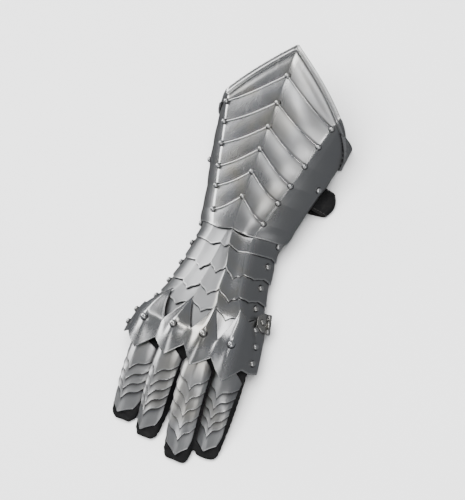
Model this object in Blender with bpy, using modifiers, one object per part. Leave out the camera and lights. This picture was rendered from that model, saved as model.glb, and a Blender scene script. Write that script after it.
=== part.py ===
"""Armoured gauntlet for a right hand, lying palm down.

Metres, +Z up. The fingers point along -Y, the elbow end is at +Y and the thumb side is +X. Lengths along the
gauntlet are counted from the peak of the cuff towards the fingers.
"""
import math
from collections import namedtuple

import bmesh
import bpy
import numpy as np
from mathutils import Vector

# Driving dimensions
CUFF_LENGTH = 0.178
CUFF_WIDTH = 0.137
CUFF_HEIGHT = 0.0862
WRIST_WIDTH = 0.083
WRIST_HEIGHT = 0.0462
HAND_LENGTH = 0.135
KNUCKLE_WIDTH = 0.133
KNUCKLE_HEIGHT = 0.0465

STEEL = 0.0012
FINGER_STEEL = 0.0009
LEATHER = 0.0015
PLATE_GAP = 0.0006
SEAT_GAP = 0.0003
GLOVE_SLACK = 0.0005

FLANGE_WIDTH = 0.0065
FLANGE_RISE = 0.0022
SCALLOP_DEPTH = 0.0016

RIB_WIDTH = 0.0030
RIB_HEIGHT = 0.0016
RIB_SAG = 0.0032
RIB_BALL_RADIUS = 0.0025
RIB_BALL_LIFT = 0.0002
LAME_OVERLAP = 0.010
V_REACH = 0.009
SIDE_LAG = 0.007
SIDE_RIVET_RADIUS = 0.0027
KNUCKLE_RIVET_RADIUS = 0.0036
RIVET_SINK = 0.0004

BOSS_HEIGHT = 0.0042
BOSS_RADIUS = 0.0125
SPIKE_RIDGE = 0.0030

SCALE_OVERLAP = 0.004
SCALE_REACH = 0.0120
FINGER_WIDTH = 0.0265
GLOVE_FINGER_WIDTH = 1.04
FINGER_TIP_DEPTH = 0.0150
LEAST_TIP_DEPTH = 0.0045
FINGER_LIFT = 0.0003
TIP_PLATE_LENGTH = 0.0200
FINGERTIP_REACH = 0.0060
FINGERTIP_ROUNDING = 0.0022

PALM_LENGTH_IN_CUFF = 0.030
PALM_HEIGHT = 0.0160
THUMB_WIDTH = 0.0200
THUMB_DEPTH = 0.0130
THUMB_TIP_ROUNDING = 0.0035

HINGE_LENGTH = 0.0190
HINGE_RADIUS = 0.0021
PIN_RADIUS = 0.0009
PIN_CLEARANCE = 0.0002
LEAF_THICKNESS = 0.0012
LEAF_HEIGHT = 0.0110
LEAF_TONGUE_LAP = 0.0010
PIN_END = 0.0005

GUARD_FLOOR = 0.0008
GUARD_REACH = 0.0110
GUARD_HEIGHT = 0.0125

STRAP_WIDTH = 0.026
STRAP_THICKNESS = 0.0020
STRAP_RIVET_RADIUS = 0.0030
STRAP_PLAY = 0.0005

# The lines that run along the armour, from its thumb edge over the top to its little-finger edge
THUMB_LOW, THUMB_SIDE, INDEX, MIDDLE, RING, LITTLE, LITTLE_SIDE, LITTLE_LOW = range(8)
FINGER_LINES = {"index": INDEX, "middle": MIDDLE, "ring": RING, "little": LITTLE}

# Sections of the cuff: shares of CUFF_LENGTH, half of CUFF_WIDTH and CUFF_HEIGHT. Both sides are the same,
# apart from the thumb side's wall, which stands steeper near the elbow.
CuffSection = namedtuple("CuffSection", "along low_x low_z thumb_x side_x side_z crease_x crease_z ridge_z")
CUFF_SECTIONS = (
    CuffSection(0.00, 0.840, -0.01, 1.060, 1.100, 0.42, 1.060, 0.800, 1.000),
    CuffSection(0.28, 0.810, 0.000, 0.885, 1.010, 0.385, 0.856, 0.705, 0.870),
    CuffSection(0.40, 0.800, 0.030, 0.905, 0.990, 0.360, 0.762, 0.664, 0.812),
    CuffSection(0.52, 0.815, 0.150, 0.915, 0.931, 0.336, 0.674, 0.624, 0.758),
    CuffSection(0.62, 0.800, 0.197, 0.862, 0.869, 0.313, 0.604, 0.592, 0.713),
    CuffSection(0.78, 0.715, 0.191, 0.745, 0.745, 0.284, 0.485, 0.538, 0.638),
)

# Sections of the hand: shares of HAND_LENGTH, and of half the width and the height of the wrist or the knuckles
HandSection = namedtuple(
    "HandSection",
    "size along thumb_low_x thumb_low_z thumb_side_x thumb_side_z index_x index_z middle_x middle_z"
    " ring_x ring_z little_x little_z little_side_x little_side_z little_low_x little_low_z",
)
HAND_SECTIONS = (
    HandSection("wrist", -0.095, 1.072, .303, 1.108, .487, .622, .913, .000, 1.063,
                -.140, 1.030, -.622, .913, -1.080, .500, -1.072, .303),
    HandSection("wrist", 0.000, 1.012, .292, 0.995, .476, .530, .866, .024, 1.000,
                -.108, 0.974, -.530, .866, -0.995, .498, -1.012, .292),
    HandSection("wrist", 0.120, 1.075, .281, 0.985, .476, .566, .844, .120, 0.996,
                -.108, 0.959, -.540, .833, -0.993, .519, -1.036, .281),
    HandSection("wrist", 0.280, 1.157, .271, 1.043, .465, .675, .844, .277, 0.985,
                -.108, 0.963, -.549, .823, -1.031, .519, -1.084, .260),
    HandSection("knuckle", 0.435, .812, .280, .714, .462, .504, .849, .218, 0.978,
                -.072, 0.968, -.376, .828, -0.692, .516, -0.729, .258),
    HandSection("knuckle", 0.570, .902, .280, .789, .462, .647, .882, .301, 0.989,
                -.068, 0.978, -.474, .849, -0.767, .516, -0.812, .269),
    HandSection("knuckle", 0.695, .962, .280, .895, .452, .684, .871, .331, 1.000,
                -.090, 0.989, -.556, .849, -0.880, .495, -0.925, .301),
    HandSection("knuckle", 0.810, 1.015, .269, .947, .419, .704, .871, .340, 1.000,
                -.105, 0.989, -.586, .828, -0.937, .452, -0.977, .323),
    HandSection("knuckle", 1.000, 1.083, .237, .992, .366, .752, .753, .301, 0.882,
                -.113, 0.860, -.602, .710, -0.977, .387, -1.023, .280),
)
# How far each strip between two lines is crowned, as a share of its width
CROWN = (0.05, 0.08, 0.0, 0.0, 0.0, 0.08, 0.05)

# Where the ring finger's line lies on the cuff, from its ridge to its little-finger crease
RING_SHARE = 0.2
# Chevron ribs: shares of CUFF_LENGTH at the ridge and at the creases
Rib = namedtuple("Rib", "ridge crease")
RIBS = (
    Rib(.168, .345), Rib(.318, .455), Rib(.448, .573), Rib(.572, .694), Rib(.696, .798), Rib(.831, .923),
)
# The elbow edge of the cuff, at the ridge, the creases, the sides and the low edges
ELBOW_EDGE = (0.0, .278, .325, .385)

# Lower edges of the five lames at the creases: shares of HAND_LENGTH, and how far they are cut to points
Lame = namedtuple("Lame", "name end points rivets")
LAMES = (
    Lame("wrist_lame", .115, 0.15, ("thumb", "little")),
    Lame("hand_lame_1", .272, 1.0, ("thumb", "little")),
    Lame("hand_lame_2", .435, 1.0, ("thumb", "little")),
    Lame("hand_lame_3", .565, 1.0, ("thumb", "little")),
    Lame("hand_lame_4", .830, 0.0, ("little",)),
)
LAME_RIVET_PLACE = 0.42
COVERED_LAMES = 3

# Edges of the knuckle plate: where each point lies across it, and shares of HAND_LENGTH
EdgePoint = namedtuple("EdgePoint", "across along")
KNUCKLE_UPPER = (
    EdgePoint(0.0, .520), EdgePoint(1.0, .522), EdgePoint(1.5, .575), EdgePoint(2.0, .526), EdgePoint(2.5, .712),
    EdgePoint(3.0, .553), EdgePoint(3.5, .720), EdgePoint(4.0, .552), EdgePoint(4.5, .700), EdgePoint(5.0, .527),
    EdgePoint(5.5, .650), EdgePoint(6.0, .650), EdgePoint(7.0, .665),
)
KNUCKLE_LOWER = (
    EdgePoint(0.0, .857), EdgePoint(1.0, .885), EdgePoint(1.4, .895), EdgePoint(2.0, 1.020), EdgePoint(2.5, .905),
    EdgePoint(3.0, 1.000), EdgePoint(3.5, .885), EdgePoint(4.0, .985), EdgePoint(4.5, .892), EdgePoint(5.0, .990),
    EdgePoint(5.6, .880), EdgePoint(6.0, .880), EdgePoint(7.0, .860),
)
KNUCKLE_RIVET_ALONG = .790
KnuckleSideRivet = namedtuple("KnuckleSideRivet", "across along")
KNUCKLE_SIDE_RIVETS = (
    KnuckleSideRivet(0.95, .590), KnuckleSideRivet(0.95, .700), KnuckleSideRivet(0.90, .812),
    KnuckleSideRivet(6.05, .715), KnuckleSideRivet(6.05, .812),
)

# Fingers: the length over the plates, how far the middle lies off the finger's line at the knuckles and moves on
# to the tip, the share of FINGER_WIDTH, where the keel runs, from -1 to 1 across, and how much further its thumb
# side falls at the knuckles, as a share of half its width
Finger = namedtuple("Finger", "name scales length shift splay width keel lean")
FINGERS = (
    Finger("index", 5, .0760, .0026, .003, 0.95, 0.0, .70),
    Finger("middle", 5, .0880, .0006, .006, 1.02, .15, .0),
    Finger("ring", 5, .0770, -.0008, -.001, 0.90, -.34, .0),
    Finger("little", 4, .0690, .0041, .000, 0.97, -.30, .0),
)
LEAN_LENGTH = 0.5
FINGER_START = .900
FINGER_TOP_DROP = 0.0028
FIRST_SCALE_LAG = 0.10

# Shape across a finger plate: the share of the way from its keel to its edge, and the fall there as a share of
# half its width
ArchPoint = namedtuple("ArchPoint", "across fall")
ARCH = (
    ArchPoint(-1.0, .50), ArchPoint(-.86, .35), ArchPoint(-.60, .20), ArchPoint(-.30, .09), ArchPoint(0.0, 0.0),
    ArchPoint(.30, .09), ArchPoint(.60, .20), ArchPoint(.86, .35), ArchPoint(1.0, .50),
)
PLATE_PLACES = (-1, -.72, -.45, -.2, 0, .2, .45, .72, 1.0)
# How far each arm of a scale's edge is drawn to an S, and how the pitch of the scales shortens to the tip
EDGE_SWING = 0.16
SCALE_STEPS = (1.12, 0.88)
FIRST_SCALE_START = 0.02
TIP_ROUNDING = 0.10
# A finger's narrowing to its tip, its height there as a share of FINGER_TIP_DEPTH, and how it bends down
FINGER_TAPER = 0.16
TIP_KEEL = 0.72
FINGER_BEND = 1.65

# The strap's run under the cuff: shares of half the width between its low edges, and of its height.
# The last share narrows the bulge on the little-finger side.
StrapPoint = namedtuple("StrapPoint", "across up little")
STRAP_TURN = (
    StrapPoint(0.955, .165, 1.0), StrapPoint(1.00, .125, .98), StrapPoint(1.10, .088, .93),
    StrapPoint(1.17, .048, .89), StrapPoint(1.15, .016, .89), StrapPoint(1.06, .000, .90),
)
STRAP_PLACE = .630

HINGE_ALONG = .510

# The thumb guard: its place and length as shares of HAND_LENGTH, its section as shares of GUARD_REACH and
# GUARD_HEIGHT, and its plates as shares of its length
GUARD_START = .440
GUARD_LENGTH = .390
GuardPoint = namedtuple("GuardPoint", "across up")
GUARD_PROFILE = (
    GuardPoint(-.30, .74), GuardPoint(-.36, .52), GuardPoint(-.42, .30), GuardPoint(-.62, .10),
    GuardPoint(-.98, .02), GuardPoint(-1.36, 0.0),
)
GuardPlate = namedtuple("GuardPlate", "name start end")
GUARD_PLATES = (
    GuardPlate("thumb_plate", 0.0, .48),
    GuardPlate("thumb_scale_1", .40, .66),
    GuardPlate("thumb_scale_2", .58, .82),
    GuardPlate("thumb_tip", .74, 1.0),
)
GUARD_END_CURVE = 0.06
GUARD_START_CURVE = 0.10

STEEL_COLOUR = (0.55, 0.54, 0.52)
DARK_STEEL_COLOUR = (0.34, 0.34, 0.34)
LEATHER_COLOUR = (0.015, 0.015, 0.016)

LAME_PITCH = STEEL + PLATE_GAP
SCALE_PITCH = FINGER_STEEL + PLATE_GAP


def material(name, colour, roughness, metallic):
    made = bpy.data.materials.new(name)
    made.use_nodes = True
    shader = made.node_tree.nodes["Principled BSDF"]
    shader.inputs["Base Color"].default_value = (*colour, 1.0)
    shader.inputs["Roughness"].default_value = roughness
    shader.inputs["Metallic"].default_value = metallic
    return made


def clear_scene():
    for obj in list(bpy.data.objects):
        bpy.data.objects.remove(obj)
    for collection in list(bpy.data.collections):
        bpy.data.collections.remove(collection)


clear_scene()
PARTS = bpy.data.collections.new("armoured_gauntlet")
CUTTERS = bpy.data.collections.new("cutters")
for new_collection in (PARTS, CUTTERS):
    bpy.context.scene.collection.children.link(new_collection)
POLISHED = material("polished_steel", STEEL_COLOUR, 0.28, 1.0)
DARK = material("dark_steel", DARK_STEEL_COLOUR, 0.32, 1.0)
BLACK_LEATHER = material("black_leather", LEATHER_COLOUR, 0.55, 0.0)
ROOT = bpy.data.objects.new("gauntlet_origin", None)
PARTS.objects.link(ROOT)


# The skin: the armour's outer face as a function of the length s and the place v across

def station(along):
    """Length from the peak for a share of HAND_LENGTH."""
    return CUFF_LENGTH + along * HAND_LENGTH


def key_rows():
    """Stations, and for each the eight points (x, z) of the lines that run along the armour."""
    stations, rows = [], []
    half, height = CUFF_WIDTH / 2, CUFF_HEIGHT
    for c in CUFF_SECTIONS:
        ring = (-RING_SHARE * c.crease_x, c.ridge_z + RING_SHARE * (c.crease_z - c.ridge_z))
        line = (
            (c.low_x, c.low_z), (c.thumb_x, c.side_z), (c.crease_x, c.crease_z), (0.0, c.ridge_z),
            ring, (-c.crease_x, c.crease_z), (-c.side_x, c.side_z), (-c.low_x, c.low_z),
        )
        stations.append(c.along * CUFF_LENGTH)
        rows.append([(x * half, z * height) for x, z in line])
    sizes = {"wrist": (WRIST_WIDTH / 2, WRIST_HEIGHT), "knuckle": (KNUCKLE_WIDTH / 2, KNUCKLE_HEIGHT)}
    for h in HAND_SECTIONS:
        half, height = sizes[h.size]
        shares = h[2:]
        stations.append(station(h.along))
        rows.append([(shares[2 * i] * half, shares[2 * i + 1] * height) for i in range(8)])
    return np.array(stations), np.array(rows)


STATIONS, ROWS = key_rows()
SLOPES = np.gradient(ROWS, STATIONS, axis=0)


def key_points(s):
    """The eight line points (x, z) at each length s, on a smooth cubic through the sections."""
    s = np.asarray(s, float)
    i = np.clip(np.searchsorted(STATIONS, s, side="right") - 1, 0, len(STATIONS) - 2)
    span = STATIONS[i + 1] - STATIONS[i]
    f = ((s - STATIONS[i]) / span)[..., None, None]
    span = span[..., None, None]
    return (
        (2 * f**3 - 3 * f**2 + 1) * ROWS[i] + (f**3 - 2 * f**2 + f) * span * SLOPES[i]
        + (3 * f**2 - 2 * f**3) * ROWS[i + 1] + (f**3 - f**2) * span * SLOPES[i + 1]
    )


def skin(s, v):
    """Points of the armour's outer face: straight or crowned strips between the eight lines."""
    s, v = np.broadcast_arrays(np.asarray(s, float), np.asarray(v, float))
    lines = key_points(s)
    i = np.clip(np.floor(v).astype(int), 0, 6)
    f = (v - i)[..., None]
    start = np.take_along_axis(lines, i[..., None, None], axis=-2)[..., 0, :]
    end = np.take_along_axis(lines, (i + 1)[..., None, None], axis=-2)[..., 0, :]
    chord = end - start
    outward = np.stack([-chord[..., 1], chord[..., 0]], axis=-1) * -1
    crown = np.asarray(CROWN)[i][..., None] * 4 * np.clip(f, 0, 1) * (1 - np.clip(f, 0, 1))
    flat = start + chord * f + outward * crown
    return np.stack([flat[..., 0], -s, flat[..., 1]], axis=-1)


def unit(vectors):
    return vectors / np.linalg.norm(vectors, axis=-1, keepdims=True)


def normals(surface, s, v):
    """Outward unit normals of a surface(s, v), from its slopes along and across."""
    ds, dv = 0.001, 0.04
    along = surface(s + ds, v) - surface(s - ds, v)
    across = surface(s, v + dv) - surface(s, v - dv)
    return unit(np.cross(across, along))


def raised(surface, s, v, height):
    """Points that stand a height proud of a surface(s, v)."""
    s, v, height = np.broadcast_arrays(np.asarray(s, float), np.asarray(v, float), np.asarray(height, float))
    return surface(s, v) + normals(surface, s, v) * height[..., None]


# Mesh helpers

def add_object(name, mesh, look, collection=PARTS):
    mesh.materials.append(look)
    obj = bpy.data.objects.new(name, mesh)
    collection.objects.link(obj)
    obj.parent = ROOT
    if collection is CUTTERS:
        obj.hide_render = True
        obj.display_type = "WIRE"
    return obj


def mesh_of(name, points, faces):
    mesh = bpy.data.meshes.new(name)
    mesh.from_pydata([tuple(p) for p in np.reshape(points, (-1, 3))], [], faces)
    mesh.validate()
    mesh.shade_smooth()
    mesh.set_sharp_from_angle(angle=math.radians(30))
    return mesh


def sheet(name, grid, thickness, look):
    """A loft over a grid of points, rows along and columns across, given its wall inwards."""
    rows, columns = grid.shape[:2]
    faces = [
        (i * columns + j, i * columns + j + 1, (i + 1) * columns + j + 1, (i + 1) * columns + j)
        for i in range(rows - 1) for j in range(columns - 1)
    ]
    obj = add_object(name, mesh_of(name, grid, faces), look)
    solidify(obj, thickness)
    return obj


def solidify(obj, thickness, even=True, offset=-1):
    wall = obj.modifiers.new("wall", "SOLIDIFY")
    wall.thickness = thickness
    wall.offset = offset
    wall.use_even_offset = even


def ring_faces(count, size, start=0):
    return [
        (start + i * size + j, start + (i + 1) * size + j, start + (i + 1) * size + (j + 1) % size,
         start + i * size + (j + 1) % size)
        for i in range(count - 1) for j in range(size)
    ]


def tube(name, rings, look, end_point=None, start_cap=False, collection=PARTS):
    """A loft through closed rings, open at the start unless capped, and closed to a point where one is given."""
    count, size = rings.shape[:2]
    points = rings.reshape(-1, 3)
    faces = ring_faces(count, size)
    if end_point is not None:
        points = np.vstack([points, end_point])
        last = (count - 1) * size
        faces += [(last + j, count * size, last + (j + 1) % size) for j in range(size)]
    if start_cap:
        faces.append(tuple(range(size)))
    if start_cap and end_point is None:
        faces.append(tuple(reversed(range((count - 1) * size, count * size))))
    mesh = mesh_of(name, points, faces)
    loft = bmesh.new()
    loft.from_mesh(mesh)
    bmesh.ops.recalc_face_normals(loft, faces=loft.faces)
    middle = points.mean(axis=0)
    outward = sum(f.normal.dot(f.calc_center_median() - Vector(middle)) * f.calc_area() for f in loft.faces)
    if outward < 0:
        bmesh.ops.reverse_faces(loft, faces=loft.faces)
    loft.to_mesh(mesh)
    loft.free()
    return add_object(name, mesh, look, collection)


def boolean(obj, other, operation):
    cut = obj.modifiers.new(operation.lower(), "BOOLEAN")
    cut.operation = operation
    cut.solver = "EXACT"
    cut.object = other
    return cut


def along_axis(obj, point, axis):
    obj.location = Vector(point)
    obj.rotation_mode = "QUATERNION"
    obj.rotation_quaternion = Vector(axis).to_track_quat("Z", "Y")


def dome(name, point, normal, radius, look, collection=PARTS, segments=8, rings=6, flatten=0.72, seat=0.1):
    """The head of a rivet: a squashed ball cut flat where it seats, a share of its radius above its centre."""
    head = bmesh.new()
    bmesh.ops.create_uvsphere(head, u_segments=segments, v_segments=rings, radius=radius)
    bmesh.ops.translate(head, verts=head.verts, vec=(0, 0, -seat * radius))
    bmesh.ops.bisect_plane(
        head, geom=head.verts[:] + head.edges[:] + head.faces[:], plane_co=(0, 0, 0), plane_no=(0, 0, 1),
        clear_inner=True,
    )
    bmesh.ops.holes_fill(head, edges=head.edges)
    bmesh.ops.scale(head, vec=(1, 1, flatten), verts=head.verts)
    bmesh.ops.recalc_face_normals(head, faces=head.faces)
    mesh = bpy.data.meshes.new(name)
    head.to_mesh(mesh)
    head.free()
    mesh.shade_smooth()
    obj = add_object(name, mesh, look, collection)
    along_axis(obj, point, normal)
    obj.parent = ROOT
    return obj


def rivet_into(obj, surface, s, v, height, radius):
    """A rivet head fused to a plate's outer face."""
    point = raised(surface, s, v, height - RIVET_SINK)
    head = dome(f"{obj.name}_head", point, normals(surface, s, v), radius, POLISHED, CUTTERS)
    boolean(obj, head, "UNION")


def prism(name, outline, frame, low, high, look, collection=CUTTERS):
    """A flat outline of (a, b) points in a frame (origin, a, b, c), thick from low to high along c."""
    origin, a, b, c = frame
    flat = bmesh.new()
    corners = [flat.verts.new(Vector(origin + a * p + b * q + c * low)) for p, q in outline]
    face = flat.faces.new(corners)
    grown = bmesh.ops.extrude_face_region(flat, geom=[face])
    moved = [g for g in grown["geom"] if isinstance(g, bmesh.types.BMVert)]
    bmesh.ops.translate(flat, verts=moved, vec=Vector(c * (high - low)))
    bmesh.ops.recalc_face_normals(flat, faces=flat.faces)
    mesh = bpy.data.meshes.new(name)
    flat.to_mesh(mesh)
    flat.free()
    return add_object(name, mesh, look, collection)


def cylinder(name, centre, axis, length, radius, look, collection=CUTTERS, segments=14):
    drum = bmesh.new()
    bmesh.ops.create_cone(
        drum, cap_ends=True, segments=segments, radius1=radius, radius2=radius, depth=length
    )
    mesh = bpy.data.meshes.new(name)
    drum.to_mesh(mesh)
    drum.free()
    obj = add_object(name, mesh, look, collection)
    along_axis(obj, centre, axis)
    return obj


# Cuff

def across_cells(cells):
    """Places across, from cell counts for the seven strips."""
    places = [np.linspace(i, i + 1, n, endpoint=False) for i, n in enumerate(cells)]
    return np.append(np.concatenate(places), len(cells))


def triangle_wave(x):
    """0 at whole numbers and 1 half way between."""
    return 1 - np.abs(2 * (x - np.floor(x)) - 1)


def elbow_edge(v):
    ridge, crease, side, low = (e * CUFF_LENGTH for e in ELBOW_EDGE)
    ring = ridge + RING_SHARE * (crease - ridge)
    return np.interp(v, range(8), (low, side, crease, ridge, ring, crease, side, low))


def wrist_edge(v):
    """The cuff's edge over the wrist, which runs back along the sides."""
    lag = np.interp(v, (0, 2, 5, 7), (SIDE_LAG * 1.8, 0, 0, SIDE_LAG * 1.8))
    return CUFF_LENGTH - lag


def scalloped(v, s):
    """Places across whose two low edges are cut in shallow waves, one to each band between ribs."""
    bands = np.interp(s, [r.crease * CUFF_LENGTH for r in RIBS], range(len(RIBS)))
    depth = SCALLOP_DEPTH * (1 - np.sin(math.pi * (bands - np.floor(bands)))) / (0.2 * CUFF_HEIGHT)
    at_low = np.clip(1 - v, 0, 1) - np.clip(v - 6, 0, 1)
    return v + depth * at_low


def make_cuff():
    v = across_cells((2, 2, 2, 1, 2, 2, 2))
    shares = np.linspace(0, 1, 14)
    start = elbow_edge(v) + FLANGE_WIDTH
    s = start + (wrist_edge(v) - start) * shares[:, None]
    across = np.broadcast_to(v, s.shape)
    plate = raised(skin, s, scalloped(across, s), 0.0)
    flange = raised(skin, elbow_edge(v), v, FLANGE_RISE)
    grid = np.concatenate([flange[None], plate])
    return sheet("cuff_plate", grid, STEEL, POLISHED)


def make_rib(number, rib):
    """A half-round bead from crease to crease over the ridge, sagging to the wrist, with three ball rivets on it."""
    v = np.concatenate([np.linspace(INDEX, MIDDLE, 4), np.linspace(MIDDLE, LITTLE, 5)[1:]])
    share = np.abs(np.interp(v, (INDEX, MIDDLE, RING, LITTLE), (-1, 0, RING_SHARE, 1)))
    s = CUFF_LENGTH * (rib.ridge + (rib.crease - rib.ridge) * share) + RIB_SAG * 4 * share * (1 - share)
    centre = raised(skin, s, v, PLATE_GAP)
    up = normals(skin, s, v)
    run = unit(np.gradient(centre, axis=0))
    side = unit(np.cross(run, up))
    profile = ((-.5, 0), (-.36, .72), (0, 1), (.36, .72), (.5, 0))
    rings = np.stack([
        centre + side * (a * RIB_WIDTH) + up * (b * RIB_HEIGHT) for a, b in profile
    ], axis=1)
    obj = tube(f"cuff_rib_{number}", rings, POLISHED, start_cap=True)
    for i in (0, 3, len(v) - 1):
        head = dome(
            f"rib_{number}_ball_{i}", centre[i] + up[i] * RIB_BALL_LIFT, up[i], RIB_BALL_RADIUS, POLISHED, CUTTERS,
            segments=6, rings=5, flatten=1.0, seat=-0.45,
        )
        boolean(obj, head, "UNION")
    return obj


# Lames over the wrist and the back of the hand

def lame_stack(s):
    """T(s): rises by one pitch of plate and gap at each lame's edge, so that every lame ends on the skin."""
    ends = [CUFF_LENGTH] + [station(lame.end) + lame.points * V_REACH / 2 for lame in LAMES[:4]]
    return np.interp(s, ends, np.arange(5) * LAME_PITCH)


def edge_line(lame, v):
    """A lame's lower edge: points between the creases, and a lag along the sides."""
    pointed = np.where((v >= INDEX) & (v <= LITTLE), triangle_wave(v), 0.35 * triangle_wave(v))
    pointed = np.where((v < THUMB_SIDE) | (v > LITTLE_SIDE), 0, pointed)
    lag = np.interp(v, (0, 1, 2, 5, 6, 7), (SIDE_LAG, SIDE_LAG, 0, 0, SIDE_LAG, SIDE_LAG))
    return station(lame.end) + lame.points * V_REACH * pointed - lag


def start_line(number, v):
    """A lame's hidden upper edge, which lies under the plate before it."""
    before = CUFF_LENGTH if number == 0 else station(LAMES[number - 1].end)
    lag = np.interp(v, (0, 1, 2, 5, 6, 7), (SIDE_LAG, SIDE_LAG, 0, 0, SIDE_LAG, SIDE_LAG))
    if number == 0:
        lag = lag * 1.8
    return before - lag - LAME_OVERLAP


def lame_height(number, s):
    return lame_stack(s) - (number + 1) * LAME_PITCH


def make_lame(number, lame):
    v = across_cells((1, 2, 2, 2, 2, 2, 1))
    start, end = start_line(number, v), edge_line(lame, v)
    if number == len(LAMES) - 1:
        end = np.minimum(end, knuckle_edge(KNUCKLE_LOWER, v) - LAME_OVERLAP / 2)
    shares = np.linspace(0, 1, 7 if number == len(LAMES) - 1 else 5)
    s = start + (end - start) * shares[:, None]
    grid = raised(skin, s, v, lame_height(number, s))
    obj = sheet(lame.name, grid, STEEL, DARK if number < 2 else POLISHED)
    places = {"thumb": THUMB_SIDE, "little": LITTLE_SIDE}
    for side in lame.rivets:
        across = places[side]
        above = CUFF_LENGTH - 1.8 * SIDE_LAG if number == 0 else station(LAMES[number - 1].end) - SIDE_LAG
        below = station(lame.end) - SIDE_LAG
        if number == len(LAMES) - 1:
            below = knuckle_edge(KNUCKLE_UPPER, float(across))
        place = above + (below - above) * LAME_RIVET_PLACE
        rivet_into(obj, skin, place, float(across), lame_height(number, place), SIDE_RIVET_RADIUS)
    return obj


# Knuckle plate

def knuckle_edge(points, v):
    return station(np.interp(v, [p.across for p in points], [p.along for p in points]))


def knuckle_relief(s, v):
    """Height of the bosses and of the spikes' ridges over the plate."""
    height = np.zeros(np.broadcast(s, v).shape)
    flat = key_points(s)
    here = skin(s, v)
    for line in FINGER_LINES.values():
        along = s - station(KNUCKLE_RIVET_ALONG)
        sideways = here[..., 0] - flat[..., line, 0]
        away = np.sqrt(along**2 + sideways**2)
        boss = BOSS_HEIGHT * np.clip(1 - away / BOSS_RADIUS, 0, 1) ** 1.3
        ridge = SPIKE_RIDGE * np.clip(1 - np.abs(v - line) / 0.42, 0, 1)
        fade = np.clip(-along / (0.1 * HAND_LENGTH), 0, 1) + 0.8 * np.clip(along / (0.1 * HAND_LENGTH), 0, 1)
        height = np.maximum(height, np.maximum(boss, ridge * fade))
    return height


def knuckle_height(s, v):
    base = lame_stack(s) - COVERED_LAMES * LAME_PITCH
    return base + knuckle_relief(s, v)


def knuckle_grid():
    v = across_cells((2, 2, 4, 4, 4, 2, 2))
    upper, lower = knuckle_edge(KNUCKLE_UPPER, v), knuckle_edge(KNUCKLE_LOWER, v)
    shares = np.linspace(0, 1, 8)
    s = upper + (lower - upper) * shares[:, None]
    return raised(skin, s, v, knuckle_height(s, v)), v


def make_knuckle_plate():
    grid, places = knuckle_grid()
    obj = sheet("knuckle_plate", grid, STEEL, POLISHED)
    for rivet in KNUCKLE_SIDE_RIVETS:
        s = station(rivet.along)
        height = knuckle_height(np.array(s), np.array(rivet.across))
        rivet_into(obj, skin, s, rivet.across, height, SIDE_RIVET_RADIUS)
    for name, line in FINGER_LINES.items():
        seat_knuckle_rivet(name, grid[:, places == line][:, 0])


def seat_knuckle_rivet(name, column):
    """A large domed rivet on a finger's boss, a small gap clear of the plate's column of points."""
    s = station(KNUCKLE_RIVET_ALONG)
    line = float(FINGER_LINES[name])
    point = np.array([np.interp(s, -column[:, 1], column[:, axis]) for axis in range(3)])
    normal = normals(skin, s, line)
    dome(
        f"knuckle_rivet_{name}", point + normal * 2 * SEAT_GAP, normal, KNUCKLE_RIVET_RADIUS, POLISHED,
        flatten=0.7, segments=12,
    )


# Fingers

def finger_start():
    return station(FINGER_START)


def finger_line(finger, u):
    """Centre line of a finger's plates: x, length and height of the keel for u from the knuckle to the tip."""
    root = skin(finger_start(), float(FINGER_LINES[finger.name]))
    top = root[2] - FINGER_TOP_DROP
    tip = FINGER_TIP_DEPTH * TIP_KEEL
    x = root[0] + finger.shift + finger.splay * u
    z = top - (top - tip) * np.clip(u, 0, 2) ** FINGER_BEND
    return x, finger_start() + finger.length * u, z


def finger_half(finger, u):
    return finger.width * FINGER_WIDTH / 2 * (1 - FINGER_TAPER * np.clip(u, 0, 1.2) ** 2)


def finger_skin(finger):
    """The plates' outer face for one finger: u along, and v from -1 to 1 across, with the keel at 0."""
    def surface(u, v):
        x, s, z = finger_line(finger, u)
        half = finger_half(finger, u)
        fall = np.interp(v, [a.across for a in ARCH], [a.fall for a in ARCH])
        fall = fall + finger.lean * np.clip(v, 0, 1) * np.clip(1 - u / LEAN_LENGTH, 0, 1)
        across = finger.keel * (1 - np.abs(v)) + v
        return np.stack([x + half * across, -s, z - half * fall], axis=-1)
    return surface


def finger_normals(surface, u, v):
    """Outward normals of a finger's face, whose length runs as u from 0 to 1."""
    along = surface(u + 0.01, v) - surface(u - 0.01, v)
    across = surface(u, v + 0.05) - surface(u, v - 0.05)
    return unit(np.cross(along, across))


def finger_raised(surface, u, v, height):
    u, v, height = np.broadcast_arrays(np.asarray(u, float), np.asarray(v, float), np.asarray(height, float))
    return surface(u, v) + finger_normals(surface, u, v) * height[..., None]


def scale_ends(finger):
    """Where each scale of a finger ends, as u: pitches that shorten a little towards the tip."""
    plates = 1 - TIP_PLATE_LENGTH / finger.length
    first = (station(1.0) - finger_start()) / finger.length
    steps = np.linspace(*SCALE_STEPS, finger.scales)
    return first + (plates - first) * np.cumsum(steps) / steps.sum()


def finger_stack(finger, u):
    ends = np.append(scale_ends(finger), 1.0)
    return np.interp(u, ends, np.arange(len(ends)) * SCALE_PITCH)


def scale_edge(v, reach):
    """A V-shaped edge whose two arms are drawn in a shallow S."""
    arm = 1 - np.abs(v)
    return reach * (arm + EDGE_SWING * np.sin(2 * math.pi * arm))


def deepest_scale(finger):
    ends = scale_ends(finger)
    starts = ends - (SCALE_OVERLAP + SCALE_REACH / 2) / finger.length
    return max((k + 1) * SCALE_PITCH - float(finger_stack(finger, u)) for k, u in enumerate(starts))


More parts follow.
